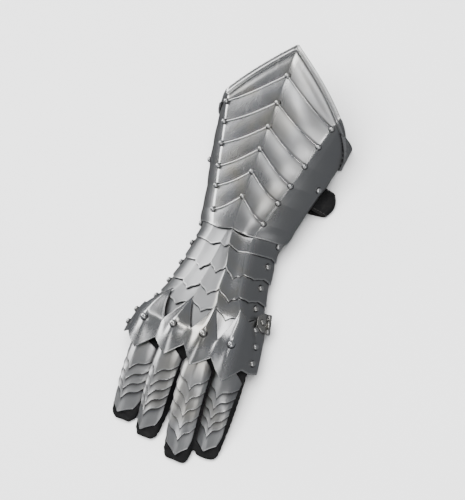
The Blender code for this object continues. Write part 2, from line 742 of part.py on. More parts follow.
def make_finger_plates(finger):
    surface = finger_skin(finger)
    ends = scale_ends(finger)
    reach = SCALE_REACH / finger.length
    overlap = SCALE_OVERLAP / finger.length
    v = np.array(PLATE_PLACES)
    edge = scale_edge(v, reach) - reach / 2
    for k, end in enumerate(ends):
        start = FIRST_SCALE_START + FIRST_SCALE_LAG * v**2 if k == 0 else ends[k - 1] + edge - overlap
        stop = end + edge
        u = start + (stop - start) * np.array([0, 0.5, 1.0])[:, None]
        grid = finger_raised(surface, u, v, finger_stack(finger, u) - k * SCALE_PITCH)
        finger_sheet(f"{finger.name}_scale_{k + 1}", grid)
    start = ends[-1] + edge - overlap
    stop = 1.0 - TIP_ROUNDING * np.abs(v) ** 1.5
    u = start + (stop - start) * np.array([0, 0.36, 0.7, 1.0])[:, None]
    closing = 1 - 0.62 * np.clip((u - ends[-1]) / (1 - ends[-1]), 0, 1) ** 2.2
    grid = finger_raised(surface, u, v * closing, finger_stack(finger, u) - finger.scales * SCALE_PITCH)
    finger_sheet(f"{finger.name}_tip_plate", grid)


def finger_sheet(name, grid):
    return sheet(name, grid[:, ::-1], FINGER_STEEL, POLISHED)


# Glove

def glove_depth():
    """How far under the skin the glove lies: below the deepest lame."""
    deepest = 0
    for number in range(len(LAMES)):
        v = np.arange(8.0)
        deepest = max(deepest, float(np.max(-lame_height(number, start_line(number, v)))))
    return deepest + STEEL + GLOVE_SLACK


def palm_rings(grow=0.0):
    """Closed sections of the glove's hand, from its mouth in the cuff to the knuckles."""
    s = np.linspace(CUFF_LENGTH - PALM_LENGTH_IN_CUFF, finger_start() - SEAT_GAP, 11)
    if grow:
        s[0] -= LEATHER
        s[-1] += LEATHER
    v = np.array([0.8, 1, 1.5, 2, 3, 4, 5, 5.5, 6, 6.2])
    top = raised(skin, s[:, None], v, -glove_depth() + grow)
    t = np.linspace(0, 1, 8)[1:-1]
    wide = top[:, -1:, :] + (top[:, :1, :] - top[:, -1:, :]) * t[:, None]
    floor = PALM_HEIGHT * np.interp(s, (CUFF_LENGTH, station(0.3)), (0.6, 1.0))[:, None] - grow
    sag = np.sin(math.pi * t) ** 0.45
    low = wide.copy()
    low[..., 2] = wide[..., 2] + (floor - wide[..., 2]) * sag
    return np.concatenate([top, low], axis=1)


def thumb_line(u):
    """Centre of the glove's thumb, which lies under the palm beside the thumb guard."""
    s = station(0.24) + 0.62 * HAND_LENGTH * u
    low = key_points(s)[..., THUMB_LOW, 0]
    x = low - THUMB_WIDTH * np.interp(u, (0, 0.25, 1), (1.25, 0.98, 0.98))
    rise = PALM_HEIGHT * 0.55 * np.clip(1 - u / 0.3, 0, 1) ** 1.5
    z = THUMB_DEPTH / 2 + GUARD_FLOOR + STEEL + 2 * SEAT_GAP + rise
    return x, s, z


def thumb_rings(shrink=0.0):
    u = np.linspace(0, 1, 7)
    x, s, z = thumb_line(u)
    taper = 1 - 0.25 * u**2
    taper[-1] *= 0.62
    angle = np.linspace(0, 2 * math.pi, 10, endpoint=False)
    half, deep = THUMB_WIDTH / 2 * taper - shrink, THUMB_DEPTH / 2 * taper - shrink
    rings = np.stack([
        x[:, None] + half[:, None] * np.cos(angle),
        -s[:, None] + 0 * angle,
        z[:, None] + deep[:, None] * np.sin(angle),
    ], axis=-1)
    tip = np.array([x[-1], -s[-1] - THUMB_TIP_ROUNDING + shrink, z[-1]])
    return rings, tip


def make_palm_and_thumb():
    palm = tube("glove_palm", palm_rings(), BLACK_LEATHER)
    solidify(palm, LEATHER, even=False)
    rings, tip = thumb_rings()
    thumb = tube("glove_thumb", rings, BLACK_LEATHER, end_point=tip)
    solidify(thumb, LEATHER, even=False)
    palm_form = tube("palm_form", palm_rings(LEATHER), BLACK_LEATHER, start_cap=True, collection=CUTTERS)
    hollow, hollow_tip = thumb_rings(LEATHER)
    thumb_hollow = tube(
        "thumb_hollow", hollow, BLACK_LEATHER, end_point=hollow_tip, start_cap=True, collection=CUTTERS
    )
    boolean(thumb, palm_form, "DIFFERENCE")
    boolean(palm, thumb_hollow, "DIFFERENCE")


def glove_finger_rings(finger):
    """Closed sections of one glove finger: under its plates on top, full at the sides, flat on the ground."""
    surface = finger_skin(finger)
    end = 1 + FINGERTIP_REACH / finger.length
    u = np.concatenate([np.linspace(0, 0.92, 6), [1.0, end]])
    depth = deepest_scale(finger) + FINGER_STEEL + GLOVE_SLACK
    v = np.array([-1, -.6, 0, .6, 1.0])
    top = finger_raised(surface, u[:, None], v, -depth)
    top[..., 2] = np.maximum(top[..., 2], FINGER_LIFT + LEAST_TIP_DEPTH)
    x, s, keel = finger_line(finger, u)
    half = finger_half(finger, u) * GLOVE_FINGER_WIDTH
    floor = FINGER_LIFT + (PALM_HEIGHT - FINGER_LIFT) * np.clip(1 - u / 0.62, 0, 1) ** 1.4
    side = np.minimum(top[:, 0, 2], top[:, -1, 2])
    low = []
    for across, share in ((1.0, 0.45), (0.86, 0.84), (0.45, 1.0), (-0.45, 1.0), (-0.86, 0.84), (-1.0, 0.45)):
        low.append(np.stack([x + half * across, -s, side + (floor - side) * share], axis=-1))
    rings = np.concatenate([top, np.stack(low, axis=1)], axis=1)
    closing = np.ones(len(u))
    closing[-2:] = (0.90, 0.62)
    rings[..., 0] = x[:, None] + (rings[..., 0] - x[:, None]) * closing[:, None]
    rise = floor + 0.4 * (1 - closing) * FINGER_TIP_DEPTH
    rings[..., 2] = rise[:, None] + (rings[..., 2] - floor[:, None]) * closing[:, None]
    tip = np.array([x[-1], -s[-1] - FINGERTIP_ROUNDING, rings[-1, :, 2].mean()])
    return rings, tip


def make_glove_finger(finger):
    rings, tip = glove_finger_rings(finger)
    obj = tube(f"glove_{finger.name}", rings, BLACK_LEATHER, end_point=tip)
    solidify(obj, LEATHER, even=False)


# Thumb hinge and thumb guard

def guard_skin(u, v):
    """Outer face of the thumb guard: v from 0 at its hinged edge to 1 at its lower edge, u along it."""
    u, v = np.broadcast_arrays(np.asarray(u, float), np.asarray(v, float))
    s = station(GUARD_START + GUARD_LENGTH * u)
    low = key_points(s)[..., THUMB_LOW, 0]
    places = np.linspace(0, 1, len(GUARD_PROFILE))
    across = np.interp(v, places, [p.across for p in GUARD_PROFILE])
    up = np.interp(v, places, [p.up for p in GUARD_PROFILE])
    return np.stack([low + across * GUARD_REACH, -s, GUARD_FLOOR + up * GUARD_HEIGHT], axis=-1)


def guard_stack(u):
    return np.interp(u, [g.end for g in GUARD_PLATES], np.arange(len(GUARD_PLATES)) * SCALE_PITCH)


def guard_normals(u, v):
    along = guard_skin(u + 0.01, v) - guard_skin(u - 0.01, v)
    across = guard_skin(u, v + 0.03) - guard_skin(u, v - 0.03)
    return unit(np.cross(across, along)) * -1


def make_thumb_guard():
    v = np.linspace(0, 1, len(GUARD_PROFILE))
    for number, plate in enumerate(GUARD_PLATES):
        end = plate.end - GUARD_END_CURVE * (1 - np.sin(math.pi * v))
        start = plate.start + 0.0 * v
        if number == 0:
            start = GUARD_START_CURVE * (1 - np.sin(math.pi * np.clip(v * 1.2, 0, 1)))
        u = start + (end - start) * np.array([0, 0.5, 1.0])[:, None]
        height = guard_stack(u) - number * SCALE_PITCH
        across = np.broadcast_to(v, u.shape)
        grid = guard_skin(u, across) + guard_normals(u, across) * height[..., None]
        finger_sheet(plate.name, grid)


# Hinge

def hinge_frame():
    """The hinge's axis point, the axis and the two directions across it: down the plate and out from it.

    The fixed leaf lies on the knuckle plate's side and the barrel hangs just past the plate's edge.
    """
    s = station(HINGE_ALONG)
    spread = np.linspace(-HINGE_LENGTH / 2, HINGE_LENGTH / 2, 5)[:, None]
    v = np.array([0, 0.3, 0.6, 0.9])
    out = normals(skin, s, 0.4)
    along = unit(skin(s + HINGE_LENGTH / 2, 0.0) - skin(s - HINGE_LENGTH / 2, 0.0))
    out = unit(out - along * (out @ along))
    down = np.cross(along, out)
    down = down if down[2] < 0 else -down
    near = raised(skin, s + spread, v, lame_stack(s + spread) - COVERED_LAMES * LAME_PITCH).reshape(-1, 3)
    origin = skin(s, 0.0)
    lift = ((near - origin) @ out).max() + SEAT_GAP + LEAF_THICKNESS / 2
    drop = ((near - origin) @ down).max() + SEAT_GAP + HINGE_RADIUS
    return origin + out * lift + down * drop, along, down, out


def union_all(obj, others):
    for other in others:
        boolean(obj, other, "UNION")


def make_fixed_leaf():
    """Shield-shaped leaf with the two outer knuckles, the pin through them and one rivet."""
    centre, along, down, out = hinge_frame()
    half, knuckle = HINGE_LENGTH / 2, HINGE_LENGTH * 0.28
    inset = LEAF_THICKNESS * 0.12
    low = -HINGE_RADIUS - PIN_CLEARANCE * 2
    shield = (
        (-half, low), (half, low), (half, low - 0.42 * LEAF_HEIGHT), (0.45 * half, low - LEAF_HEIGHT),
        (-0.45 * half, low - LEAF_HEIGHT), (-half, low - 0.42 * LEAF_HEIGHT),
    )
    frame = (centre, along, down, out)
    thick = LEAF_THICKNESS / 2
    leaf = prism("hinge_leaf", shield, frame, -thick, thick, POLISHED, PARTS)
    pieces = []
    for side in (-1, 1):
        inner, outer = side * (half - knuckle), side * half
        inner, outer = inner + side * inset, outer - side * inset
        tongue = ((inner, low - LEAF_TONGUE_LAP), (outer, low - LEAF_TONGUE_LAP), (outer, 0), (inner, 0))
        pieces.append(prism(f"tongue_{side}", tongue, frame, inset - thick, thick - inset, POLISHED))
        middle = centre + along * side * (half - knuckle / 2)
        pieces.append(cylinder(f"knuckle_{side}", middle, along, knuckle, HINGE_RADIUS, POLISHED))
    pieces.append(cylinder("pin", centre, along, HINGE_LENGTH + 2 * PIN_END, PIN_RADIUS, POLISHED, segments=10))
    point = centre + down * (low - 0.45 * LEAF_HEIGHT) + out * (thick - RIVET_SINK)
    pieces.append(dome("leaf_rivet", point, out, SIDE_RIVET_RADIUS, POLISHED, CUTTERS))
    union_all(leaf, pieces)
    return leaf


def make_thumb_leaf():
    """The moving leaf: centre knuckle with its bore, a bent tongue, and a plate on the thumb guard."""
    centre, along, down, out = hinge_frame()
    u = (HINGE_ALONG - GUARD_START) / GUARD_LENGTH
    reach = HINGE_LENGTH * 0.36 / (GUARD_LENGTH * HAND_LENGTH)
    near = guard_skin(np.linspace(u - reach, u + reach, 5)[:, None], np.array([0.02, 0.2, 0.38])).reshape(-1, 3)
    top, low = guard_skin(u, 0.0), guard_skin(u, 0.4)
    run = low - top
    run = unit(run - along * (run @ along))
    face = np.cross(along, run)
    face = face if face[0] > 0 else -face
    lift = ((near - top) @ face).max() + SEAT_GAP
    thick = LEAF_THICKNESS
    half = HINGE_LENGTH * 0.36
    length = np.linalg.norm(low - top)
    base = top + along * ((centre - top) @ along)
    outline = ((-half, 0), (half, 0), (half, 0.6 * length), (0.5 * half, length), (-0.5 * half, length),
               (-half, 0.6 * length))
    leaf = prism("thumb_leaf", outline, (base, along, run, face), lift, lift + thick, POLISHED, PARTS)
    knuckle = HINGE_LENGTH * 0.44 - 2 * PLATE_GAP
    to_leaf = base + face * (lift + thick / 2) + run * thick * 0.8 - centre
    distance = np.linalg.norm(to_leaf)
    way = to_leaf / distance
    side = np.cross(along, way)
    strip = ((0, -thick / 2), (distance, -thick / 2), (distance, thick / 2), (0, thick / 2))
    reach_across = knuckle / 2 - 0.2 * thick
    tongue = prism("thumb_tongue", strip, (centre, way, side, along), -reach_across, reach_across, POLISHED)
    drum = cylinder("thumb_knuckle", centre, along, knuckle, HINGE_RADIUS, POLISHED)
    bore = cylinder("thumb_bore", centre, along, knuckle * 2, PIN_RADIUS + PIN_CLEARANCE, POLISHED, segments=16)
    point = base + run * 0.5 * length + face * (lift + thick - RIVET_SINK)
    head = dome("thumb_leaf_rivet", point, face, SIDE_RIVET_RADIUS * 0.8, POLISHED, CUTTERS, seat=0.4)
    union_all(leaf, (tongue, drum, head))
    boolean(leaf, bore, "DIFFERENCE")
    return leaf


# Strap

def strap_grid():
    """Rows of the strap's middle surface, from inside the thumb side, round underneath and up the other side."""
    s_middle = CUFF_LENGTH * STRAP_PLACE
    inside = -STEEL - STRAP_PLAY - STRAP_THICKNESS / 2
    places = np.array([1.5, 1.04, 0.96, 0.5, 0.0])
    half = float(key_points(s_middle)[THUMB_LOW, 0])
    columns = []
    for s in s_middle + STRAP_WIDTH * np.array([-.5, -.17, .17, .5]):
        thumb = raised(skin, s, places, inside)
        little = raised(skin, s, 7 - places[::-1], inside)
        turn = np.array([(p.across * half, -s, p.up * CUFF_HEIGHT + STRAP_THICKNESS / 2) for p in STRAP_TURN])
        back = turn[::-1] * (-1, 1, 1)
        back[:, 0] *= [p.little for p in STRAP_TURN[::-1]]
        columns.append(np.concatenate([thumb, turn, back, little]))
    return np.stack(columns, axis=1)


def make_strap():
    grid = strap_grid()
    rows, columns = grid.shape[:2]
    faces = [
        (i * columns + j, i * columns + j + 1, (i + 1) * columns + j + 1, (i + 1) * columns + j)
        for i in range(rows - 1) for j in range(columns - 1)
    ]
    obj = add_object("strap", mesh_of("strap", grid, faces), BLACK_LEATHER)
    solidify(obj, STRAP_THICKNESS, even=False, offset=0)
    s = CUFF_LENGTH * STRAP_PLACE
    for name, side, above in (("thumb", 1.0, 1.5), ("little", 6.0, 5.5)):
        low, high = skin(s, side), skin(s, above)
        out = unit(np.cross(high - low, skin(s + STRAP_WIDTH, side) - low))
        out = out if out[0] * low[0] > 0 else -out
        dome(f"strap_rivet_{name}", low + 0.3 * (high - low) + out * SEAT_GAP, out, STRAP_RIVET_RADIUS, POLISHED)


def stand_on_origin():
    """Moves the whole gauntlet so that the middle of its underside is at the origin."""
    bpy.context.view_layer.update()
    graph = bpy.context.evaluated_depsgraph_get()
    corners = []
    for obj in PARTS.objects:
        if obj.type == "MESH":
            solid = obj.evaluated_get(graph).to_mesh()
            points = np.empty(len(solid.vertices) * 3)
            solid.vertices.foreach_get("co", points)
            world = np.array(obj.matrix_world)
            points = points.reshape(-1, 3) @ world[:3, :3].T + world[:3, 3]
            corners += [points.min(axis=0), points.max(axis=0)]
    low, high = np.min(corners, axis=0), np.max(corners, axis=0)
    ROOT.location = (-(low[0] + high[0]) / 2, -(low[1] + high[1]) / 2, -low[2])


def build():
    make_cuff()
    for number, rib in enumerate(RIBS, 1):
        make_rib(number, rib)
    for number, lame in enumerate(LAMES):
        make_lame(number, lame)
    make_knuckle_plate()
    for finger in FINGERS:
        make_finger_plates(finger)
        make_glove_finger(finger)
    make_palm_and_thumb()
    make_thumb_guard()
    make_fixed_leaf()
    make_thumb_leaf()
    make_strap()
    stand_on_origin()


build()
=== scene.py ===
import math
from collections import namedtuple

import bmesh
import bpy
import numpy as np
from mathutils import Matrix, Vector


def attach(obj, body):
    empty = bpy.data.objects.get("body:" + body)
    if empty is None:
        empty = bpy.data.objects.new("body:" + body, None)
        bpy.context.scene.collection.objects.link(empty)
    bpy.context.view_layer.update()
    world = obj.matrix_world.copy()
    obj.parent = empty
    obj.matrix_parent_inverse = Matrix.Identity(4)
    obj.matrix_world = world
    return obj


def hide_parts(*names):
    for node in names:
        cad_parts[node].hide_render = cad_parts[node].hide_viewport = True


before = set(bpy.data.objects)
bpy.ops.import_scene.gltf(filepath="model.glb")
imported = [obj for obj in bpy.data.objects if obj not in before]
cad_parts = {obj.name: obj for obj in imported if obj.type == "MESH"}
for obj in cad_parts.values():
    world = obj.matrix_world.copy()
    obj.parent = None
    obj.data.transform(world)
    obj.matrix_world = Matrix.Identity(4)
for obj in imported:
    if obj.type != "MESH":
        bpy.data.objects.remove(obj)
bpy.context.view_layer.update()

# Lengths along the gauntlet are counted from the peak of the cuff. SHIFT takes that frame to the model's.
CUFF_LENGTH = 0.178
CUFF_WIDTH = 0.137
CUFF_HEIGHT = 0.0862
WRIST_WIDTH = 0.083
WRIST_HEIGHT = 0.0462
HAND_LENGTH = 0.135
KNUCKLE_WIDTH = 0.133
KNUCKLE_HEIGHT = 0.0465
STEEL = 0.0012
FINGER_STEEL = 0.0009
LEATHER = 0.0015
PLATE_GAP = 0.0006
FLANGE_RISE = 0.0018
BORDER_WIDTH = 0.0064
RIB_SAG = 0.0032
LAME_OVERLAP = 0.010
V_REACH = 0.009
SIDE_LAG = 0.007
SCALE_OVERLAP = 0.004
SCALE_REACH = 0.0160
FINGER_WIDTH = 0.0265
FINGER_TIP_DEPTH = 0.0150
TIP_PLATE_LENGTH = 0.0200
FINGER_START = 0.900
FINGER_TOP_DROP = 0.0028
KNUCKLE_RIVET_ALONG = 0.790
HINGE_ALONG = 0.510
HINGE_LENGTH = 0.0190
HINGE_RADIUS = 0.0021
LEAF_THICKNESS = 0.0012
LEAF_HEIGHT = 0.0110
STRAP_PLACE = 0.630
STRAP_WIDTH = 0.026
STRAP_THICKNESS = 0.0020
LAME_PITCH = STEEL + PLATE_GAP
SCALE_PITCH = FINGER_STEEL + PLATE_GAP
BAND_ARCH = 0.0005
THUMB_FACET_CROWN = 0.0022
OTHER_FACET_CROWN = 0.0004
RIB_WIDTH, RIB_HEIGHT = 0.00095, 0.0010
BALL_RADIUS, BALL_HEIGHT = 0.00245, 0.0036
SIDE_RIVET = 0.0028
FLUTE_DEPTH = 0.0006
SPIKE_HEIGHT = 0.0072
TONGUE_HEIGHT = 0.0044
TONGUE_FALL = 0.0030
SCALE_WAVE = 0.00016
GLOVE_DEPTH = 0.0101
MOUTH_IN_CUFF = 0.030
PALM_FLOOR = 0.0160
STRAP_SWELL, STRAP_BEND_SWELL = 0.0008, 0.0030
STITCH_PITCH, STITCH_LENGTH, THREAD_RADIUS = 0.0034, 0.0023, 0.00028
COVERED_LAMES = 3

THUMB_LOW, THUMB_SIDE, INDEX, MIDDLE, RING, LITTLE, LITTLE_SIDE, LITTLE_LOW = range(8)
FINGER_LINES = {"index": INDEX, "middle": MIDDLE, "ring": RING, "little": LITTLE}
SHIFT = np.array([0.000327442, 0.197788492, -0.000009352])

# Shares of CUFF_LENGTH, half of CUFF_WIDTH and CUFF_HEIGHT: along, low x and z, the thumb side's x, the other
# side's x, the sides' z, crease x and z, ridge z
CUFF_SECTIONS = (
    (0.00, 0.840, -0.01, 1.060, 1.100, 0.42, 1.060, 0.800, 1.000),
    (0.28, 0.810, 0.000, 0.885, 1.010, 0.385, 0.856, 0.705, 0.870),
    (0.40, 0.800, 0.030, 0.905, 0.990, 0.360, 0.762, 0.664, 0.812),
    (0.52, 0.815, 0.150, 0.915, 0.931, 0.336, 0.674, 0.624, 0.758),
    (0.62, 0.800, 0.197, 0.862, 0.869, 0.313, 0.604, 0.592, 0.713),
    (0.78, 0.715, 0.191, 0.745, 0.745, 0.284, 0.485, 0.538, 0.638),
)
HAND_SECTIONS = (
    ("wrist", -0.095, 1.072, .303, 1.108, .487, .622, .913, .000, 1.063,
     -.140, 1.030, -.622, .913, -1.080, .500, -1.072, .303),
    ("wrist", 0.000, 1.012, .292, 0.995, .476, .530, .866, .024, 1.000,
     -.108, 0.974, -.530, .866, -0.995, .498, -1.012, .292),
    ("wrist", 0.120, 1.075, .281, 0.985, .476, .566, .844, .120, 0.996,
     -.108, 0.959, -.540, .833, -0.993, .519, -1.036, .281),
    ("wrist", 0.280, 1.157, .271, 1.043, .465, .675, .844, .277, 0.985,
     -.108, 0.963, -.549, .823, -1.031, .519, -1.084, .260),
    ("knuckle", 0.435, .812, .280, .714, .462, .504, .849, .218, 0.978,
     -.072, 0.968, -.376, .828, -0.692, .516, -0.729, .258),
    ("knuckle", 0.570, .902, .280, .789, .462, .647, .882, .301, 0.989,
     -.068, 0.978, -.474, .849, -0.767, .516, -0.812, .269),
    ("knuckle", 0.695, .962, .280, .895, .452, .684, .871, .331, 1.000,
     -.090, 0.989, -.556, .849, -0.880, .495, -0.925, .301),
    ("knuckle", 0.810, 1.015, .269, .947, .419, .704, .871, .340, 1.000,
     -.105, 0.989, -.586, .828, -0.937, .452, -0.977, .323),
    ("knuckle", 1.000, 1.083, .237, .992, .366, .752, .753, .301, 0.882,
     -.113, 0.860, -.602, .710, -0.977, .387, -1.023, .280),
)
CROWN = (0.05, 0.08, 0.0, 0.0, 0.0, 0.08, 0.05)
Rib = namedtuple("Rib", "ridge crease")
RIBS = (Rib(.168, .345), Rib(.318, .455), Rib(.448, .573), Rib(.572, .694), Rib(.696, .798), Rib(.831, .923))
ELBOW_EDGE = (0.0, .278, .325, .385)
Lame = namedtuple("Lame", "name end points rivets")
LAMES = (
    Lame("wrist_lame", .115, 0.15, (THUMB_SIDE, LITTLE_SIDE)),
    Lame("hand_lame_1", .272, 1.0, (THUMB_SIDE, LITTLE_SIDE)),
    Lame("hand_lame_2", .435, 1.0, (THUMB_SIDE, LITTLE_SIDE)),
    Lame("hand_lame_3", .565, 1.0, (THUMB_SIDE, LITTLE_SIDE)),
    Lame("hand_lame_4", .830, 0.0, (LITTLE_SIDE,)),
)
KNUCKLE_UPPER = (
    (0.0, .520), (1.0, .522), (1.5, .575), (2.0, .526), (2.5, .785), (3.0, .553), (3.5, .780), (4.0, .552),
    (4.5, .755), (5.0, .527), (5.5, .670), (6.0, .650), (7.0, .665),
)
KNUCKLE_LOWER = (
    (0.0, .857), (1.0, .885), (1.4, .895), (2.0, 1.020), (2.5, .905), (3.0, 1.000), (3.5, .885), (4.0, .985),
    (4.5, .892), (5.0, .990), (5.6, .880), (6.0, .880), (7.0, .860),
)
KNUCKLE_SIDE_RIVETS = ((0.95, .590), (0.95, .700), (0.90, .812), (6.05, .715), (6.05, .812))
# The last two columns: the share of painted shade over all of a finger's plates, and the width in metres of the
# painted shadow under the edge of the plate above.
Finger = namedtuple("Finger", "name scales length shift splay width keel lean dull shadow")
FINGERS = (
    Finger("index", 5, .0760, .0018, .003, 1.05, 0.0, .62, .35, .0034),
    Finger("middle", 5, .0880, .0003, .006, 1.12, .13, .0, .15, .0028),
    Finger("ring", 5, .0770, .0002, -.001, 0.99, -.36, .0, .35, .0040),
    Finger("little", 4, .0690, .0036, .000, 1.10, -.32, .0, .30, .0040),
)
# The finger plates' arch: places across and falls from the keel, as shares of half the width
ARCH = (
    (-1.0, .50), (-.86, .35), (-.60, .20), (-.30, .09), (0.0, 0.0), (.30, .09), (.60, .20), (.86, .35), (1.0, .50),
)
GUARD_PROFILE = ((-.30, .74), (-.36, .52), (-.42, .30), (-.62, .10), (-.98, .02), (-1.36, 0.0))
GUARD_FLOOR = 0.0008
GUARD_REACH = 0.0110
GUARD_HEIGHT = 0.0125
GUARD_START = .440
GUARD_LENGTH = .390
GUARD_PLATES = (
    ("thumb_plate", 0.0, .48),
    ("thumb_scale_1", .40, .66),
    ("thumb_scale_2", .58, .82),
    ("thumb_tip", .74, 1.0),
)
# Turning points of the strap's run in a section: shares of half the cuff's low width and of its height, and
# how much narrower the little-finger side is
STRAP_TURN = (
    (0.955, .165, 1.0), (1.00, .125, .98), (1.10, .088, .93),
    (1.17, .048, .89), (1.15, .016, .89), (1.06, .000, .90),
)


# Camera

def place_camera():
    """Camera at an azimuth from -Y towards +X and an elevation, rolled about its own axis."""
    azimuth, elevation, roll = (math.radians(a) for a in (50.95, 59.72, -29.52))
    target = np.array([0.0, -0.190, 0.022]) + SHIFT
    back = np.array([math.sin(azimuth) * math.cos(elevation), -math.cos(azimuth) * math.cos(elevation),
                     math.sin(elevation)])
    level = np.cross((0, 0, 1), back)
    level /= np.linalg.norm(level)
    upright = np.cross(back, level)
    right = level * math.cos(roll) + upright * math.sin(roll)
    up = np.cross(back, right)
    data = bpy.data.cameras.new("camera")
    data.sensor_width = 36.0
    data.lens = 36.0 * 1613 / 500
    data.clip_start, data.clip_end = 0.01, 20
    camera = bpy.data.objects.new("camera", data)
    turn = Matrix(np.stack([right, up, back], axis=1)).to_4x4()
    camera.matrix_world = Matrix.Translation(target + back * 1.5) @ turn
    bpy.context.scene.collection.objects.link(camera)
    bpy.context.scene.camera = camera


place_camera()


# Materials

class Value:
    """A node's output socket; arithmetic on it adds Math nodes to the same material."""

    def __init__(self, look, socket):
        self.look, self.socket = look, socket

    def math(self, operation, first, second=0.0):
        made = self.look.node("ShaderNodeMath", {"operation": operation}, {0: first, 1: second})
        return Value(self.look, made.outputs[0])

    def __add__(self, other):
        return self.math("ADD", self, other)

    def __radd__(self, other):
        return self.math("ADD", other, self)

    def __sub__(self, other):
        return self.math("SUBTRACT", self, other)

    def __mul__(self, other):
        return self.math("MULTIPLY", self, other)

    def __rmul__(self, other):
        return self.math("MULTIPLY", other, self)

    def most(self, other):
        return self.math("MAXIMUM", self, other)

    def between(self, low, high):
        """0 below low, 1 above high, and a straight ramp between them."""
        inputs = {0: self, 1: low, 2: high, 3: 0.0, 4: 1.0}
        made = self.look.node("ShaderNodeMapRange", {"clamp": True}, inputs)
        return Value(self.look, made.outputs[0])


class Look:
    """A material in the making: one Principled surface and the nodes that drive it."""

    def __init__(self, name):
        self.material = bpy.data.materials.new(name)
        self.material.use_nodes = True
        self.tree = self.material.node_tree
        self.shader = self.tree.nodes["Principled BSDF"]
        self.place = Value(self, self.node("ShaderNodeTexCoord").outputs["Object"])

    def node(self, kind, settings=None, inputs=None):
        made = self.tree.nodes.new(kind)
        for key, value in (settings or {}).items():
            setattr(made, key, value)
        for key, value in (inputs or {}).items():
            self.put(made.inputs[key], value)
        return made

    def put(self, socket, value):
        if isinstance(value, Value):
            self.tree.links.new(value.socket, socket)
        else:
            socket.default_value = value

    def noise(self, scale, detail=2.0, rough=0.5, stretch=None, distortion=0.0):
        place = self.place
        if stretch:
            inputs = {"Vector": place, "Scale": stretch}
            place = Value(self, self.node("ShaderNodeMapping", {"vector_type": "POINT"}, inputs).outputs[0])
        made = self.node("ShaderNodeTexNoise", {"normalize": True}, {
            "Vector": place, "Scale": scale, "Detail": detail, "Roughness": rough, "Distortion": distortion})
        return Value(self, made.outputs[0])

    def cells(self, scale):
        made = self.node("ShaderNodeTexVoronoi", {"feature": "F1"}, {"Vector": self.place, "Scale": scale})
        return Value(self, made.outputs[0])

    def attribute(self, name):
        made = self.node("ShaderNodeAttribute", {"attribute_name": name})
        return Value(self, made.outputs["Fac"])

    def tint(self, share, first, second):
        made = self.node("ShaderNodeMix", {"data_type": "RGBA"}, {0: share, 6: first, 7: second})
        return Value(self, made.outputs[2])

    def relief(self, height, distance, strength=1.0, under=None):
        inputs = {"Height": height, "Distance": distance, "Strength": strength}
        if under is not None:
            inputs["Normal"] = under
        return Value(self, self.node("ShaderNodeBump", None, inputs).outputs[0])

    def finish(self, **sockets):
        for key, value in sockets.items():
            self.put(self.shader.inputs[key.replace("_", " ")], value)
        return self.material


def colour(r, g, b):
    return (r, g, b, 1.0)


def polished_steel(name, light=0.60, rough=0.20, hammering=0.09, brushing=0.22):
    """Hand-polished plate: cloudy polish, warm and cool patches, faint hammering, scratches, and lightened edges.

    Three attributes run from 0 to 1. The one named edge is a painted highlight along free edges, creases, ridges and
    rivet tops, and partly also wear at the free edges. The second is a painted shadow under plate edges, beside ribs
    and round rivet feet. The third is painted shade down the sides and over chosen facets and plates.
    """
    look = Look(name)
    edge, hollow, shade = look.attribute("edge"), look.attribute("hollow"), look.attribute("shade")
    cloud = look.noise(40, 2, 0.5)
    warm = look.noise(24, 2, 0.5, distortion=0.6).between(0.50, 0.72)
    cool = look.noise(31, 2, 0.5, stretch=(1.0, 0.7, 1.3)).between(0.52, 0.75)
    scratch = look.noise(240, 5, 0.65, stretch=(1.0, 0.12, 1.0))
    fine = look.noise(900, 3, 0.6, stretch=(0.25, 1.0, 0.6))
    plain, warmer = colour(light, light, light * 1.005), colour(light * 1.02, light * 0.965, light * 0.83)
    base = look.tint(warm * 0.8, plain, warmer)
    base = look.tint(cool * 0.5, base, colour(light * 0.88, light * 0.90, light * 0.98))
    base = look.tint(cloud.between(0.40, 0.80) * 0.20, base, colour(light * 0.60, light * 0.60, light * 0.61))
    # Painted shade: a darker base down the sides and over chosen facets and plates.
    base = look.tint(shade * 0.92, base, colour(light * 0.66, light * 0.665, light * 0.675))
    # Painted highlight along edges, creases, ridges and rivet tops, partly also wear at free edges.
    base = look.tint(edge * 0.60, base, colour(0.90, 0.90, 0.89))
    # Painted shadow: a near-black base under plate edges, beside ribs and round rivet feet.
    base = look.tint(hollow * 0.92, base, colour(0.022, 0.022, 0.024))
    roughness = rough + 0.06 * cloud.between(0.3, 0.8) + 0.05 * scratch.between(0.45, 0.8) + 0.10 * shade
    roughness = (roughness - 0.06 * edge).most(0.08) + 0.2 * hollow
    hammered = look.relief(look.noise(42, 1, 0.4), 0.0016, hammering)
    brushed = look.relief(fine * 0.5 + scratch * 0.5, 0.00004, brushing, under=hammered)
    return look.finish(Base_Color=base, Metallic=1.0, Roughness=roughness, Normal=brushed,
                       Specular_Tint=colour(0.70, 0.70, 0.70))


def black_leather(name, light=0.0065):
    """Soft black leather: pebbled grain from two sizes of cells, creases, and paler rubbed places."""
    look = Look(name)
    edge = look.attribute("edge")
    pebbles = look.cells(1500)
    small = look.noise(3200, 3, 0.6)
    crease = look.noise(170, 4, 0.6, stretch=(1.0, 2.2, 1.0), distortion=1.2)
    rub = look.noise(60, 3, 0.6).between(0.5, 0.8)
    plain, rubbed = colour(light, light, light * 1.05), colour(light * 2.4, light * 2.3, light * 2.2)
    base = look.tint(rub * 0.5, plain, rubbed)
    base = look.tint(edge * 0.5, base, colour(light * 3.0, light * 2.7, light * 2.5))
    roughness = 0.50 + 0.20 * small.between(0.3, 0.8) - 0.06 * rub
    grainy = look.relief(pebbles * 0.8 + small * 0.3, 0.00022, 0.55)
    creased = look.relief(crease, 0.0009, 0.35, under=grainy)
    return look.finish(Base_Color=base, Metallic=0.0, Roughness=roughness, Normal=creased,
                       Specular_IOR_Level=0.12)


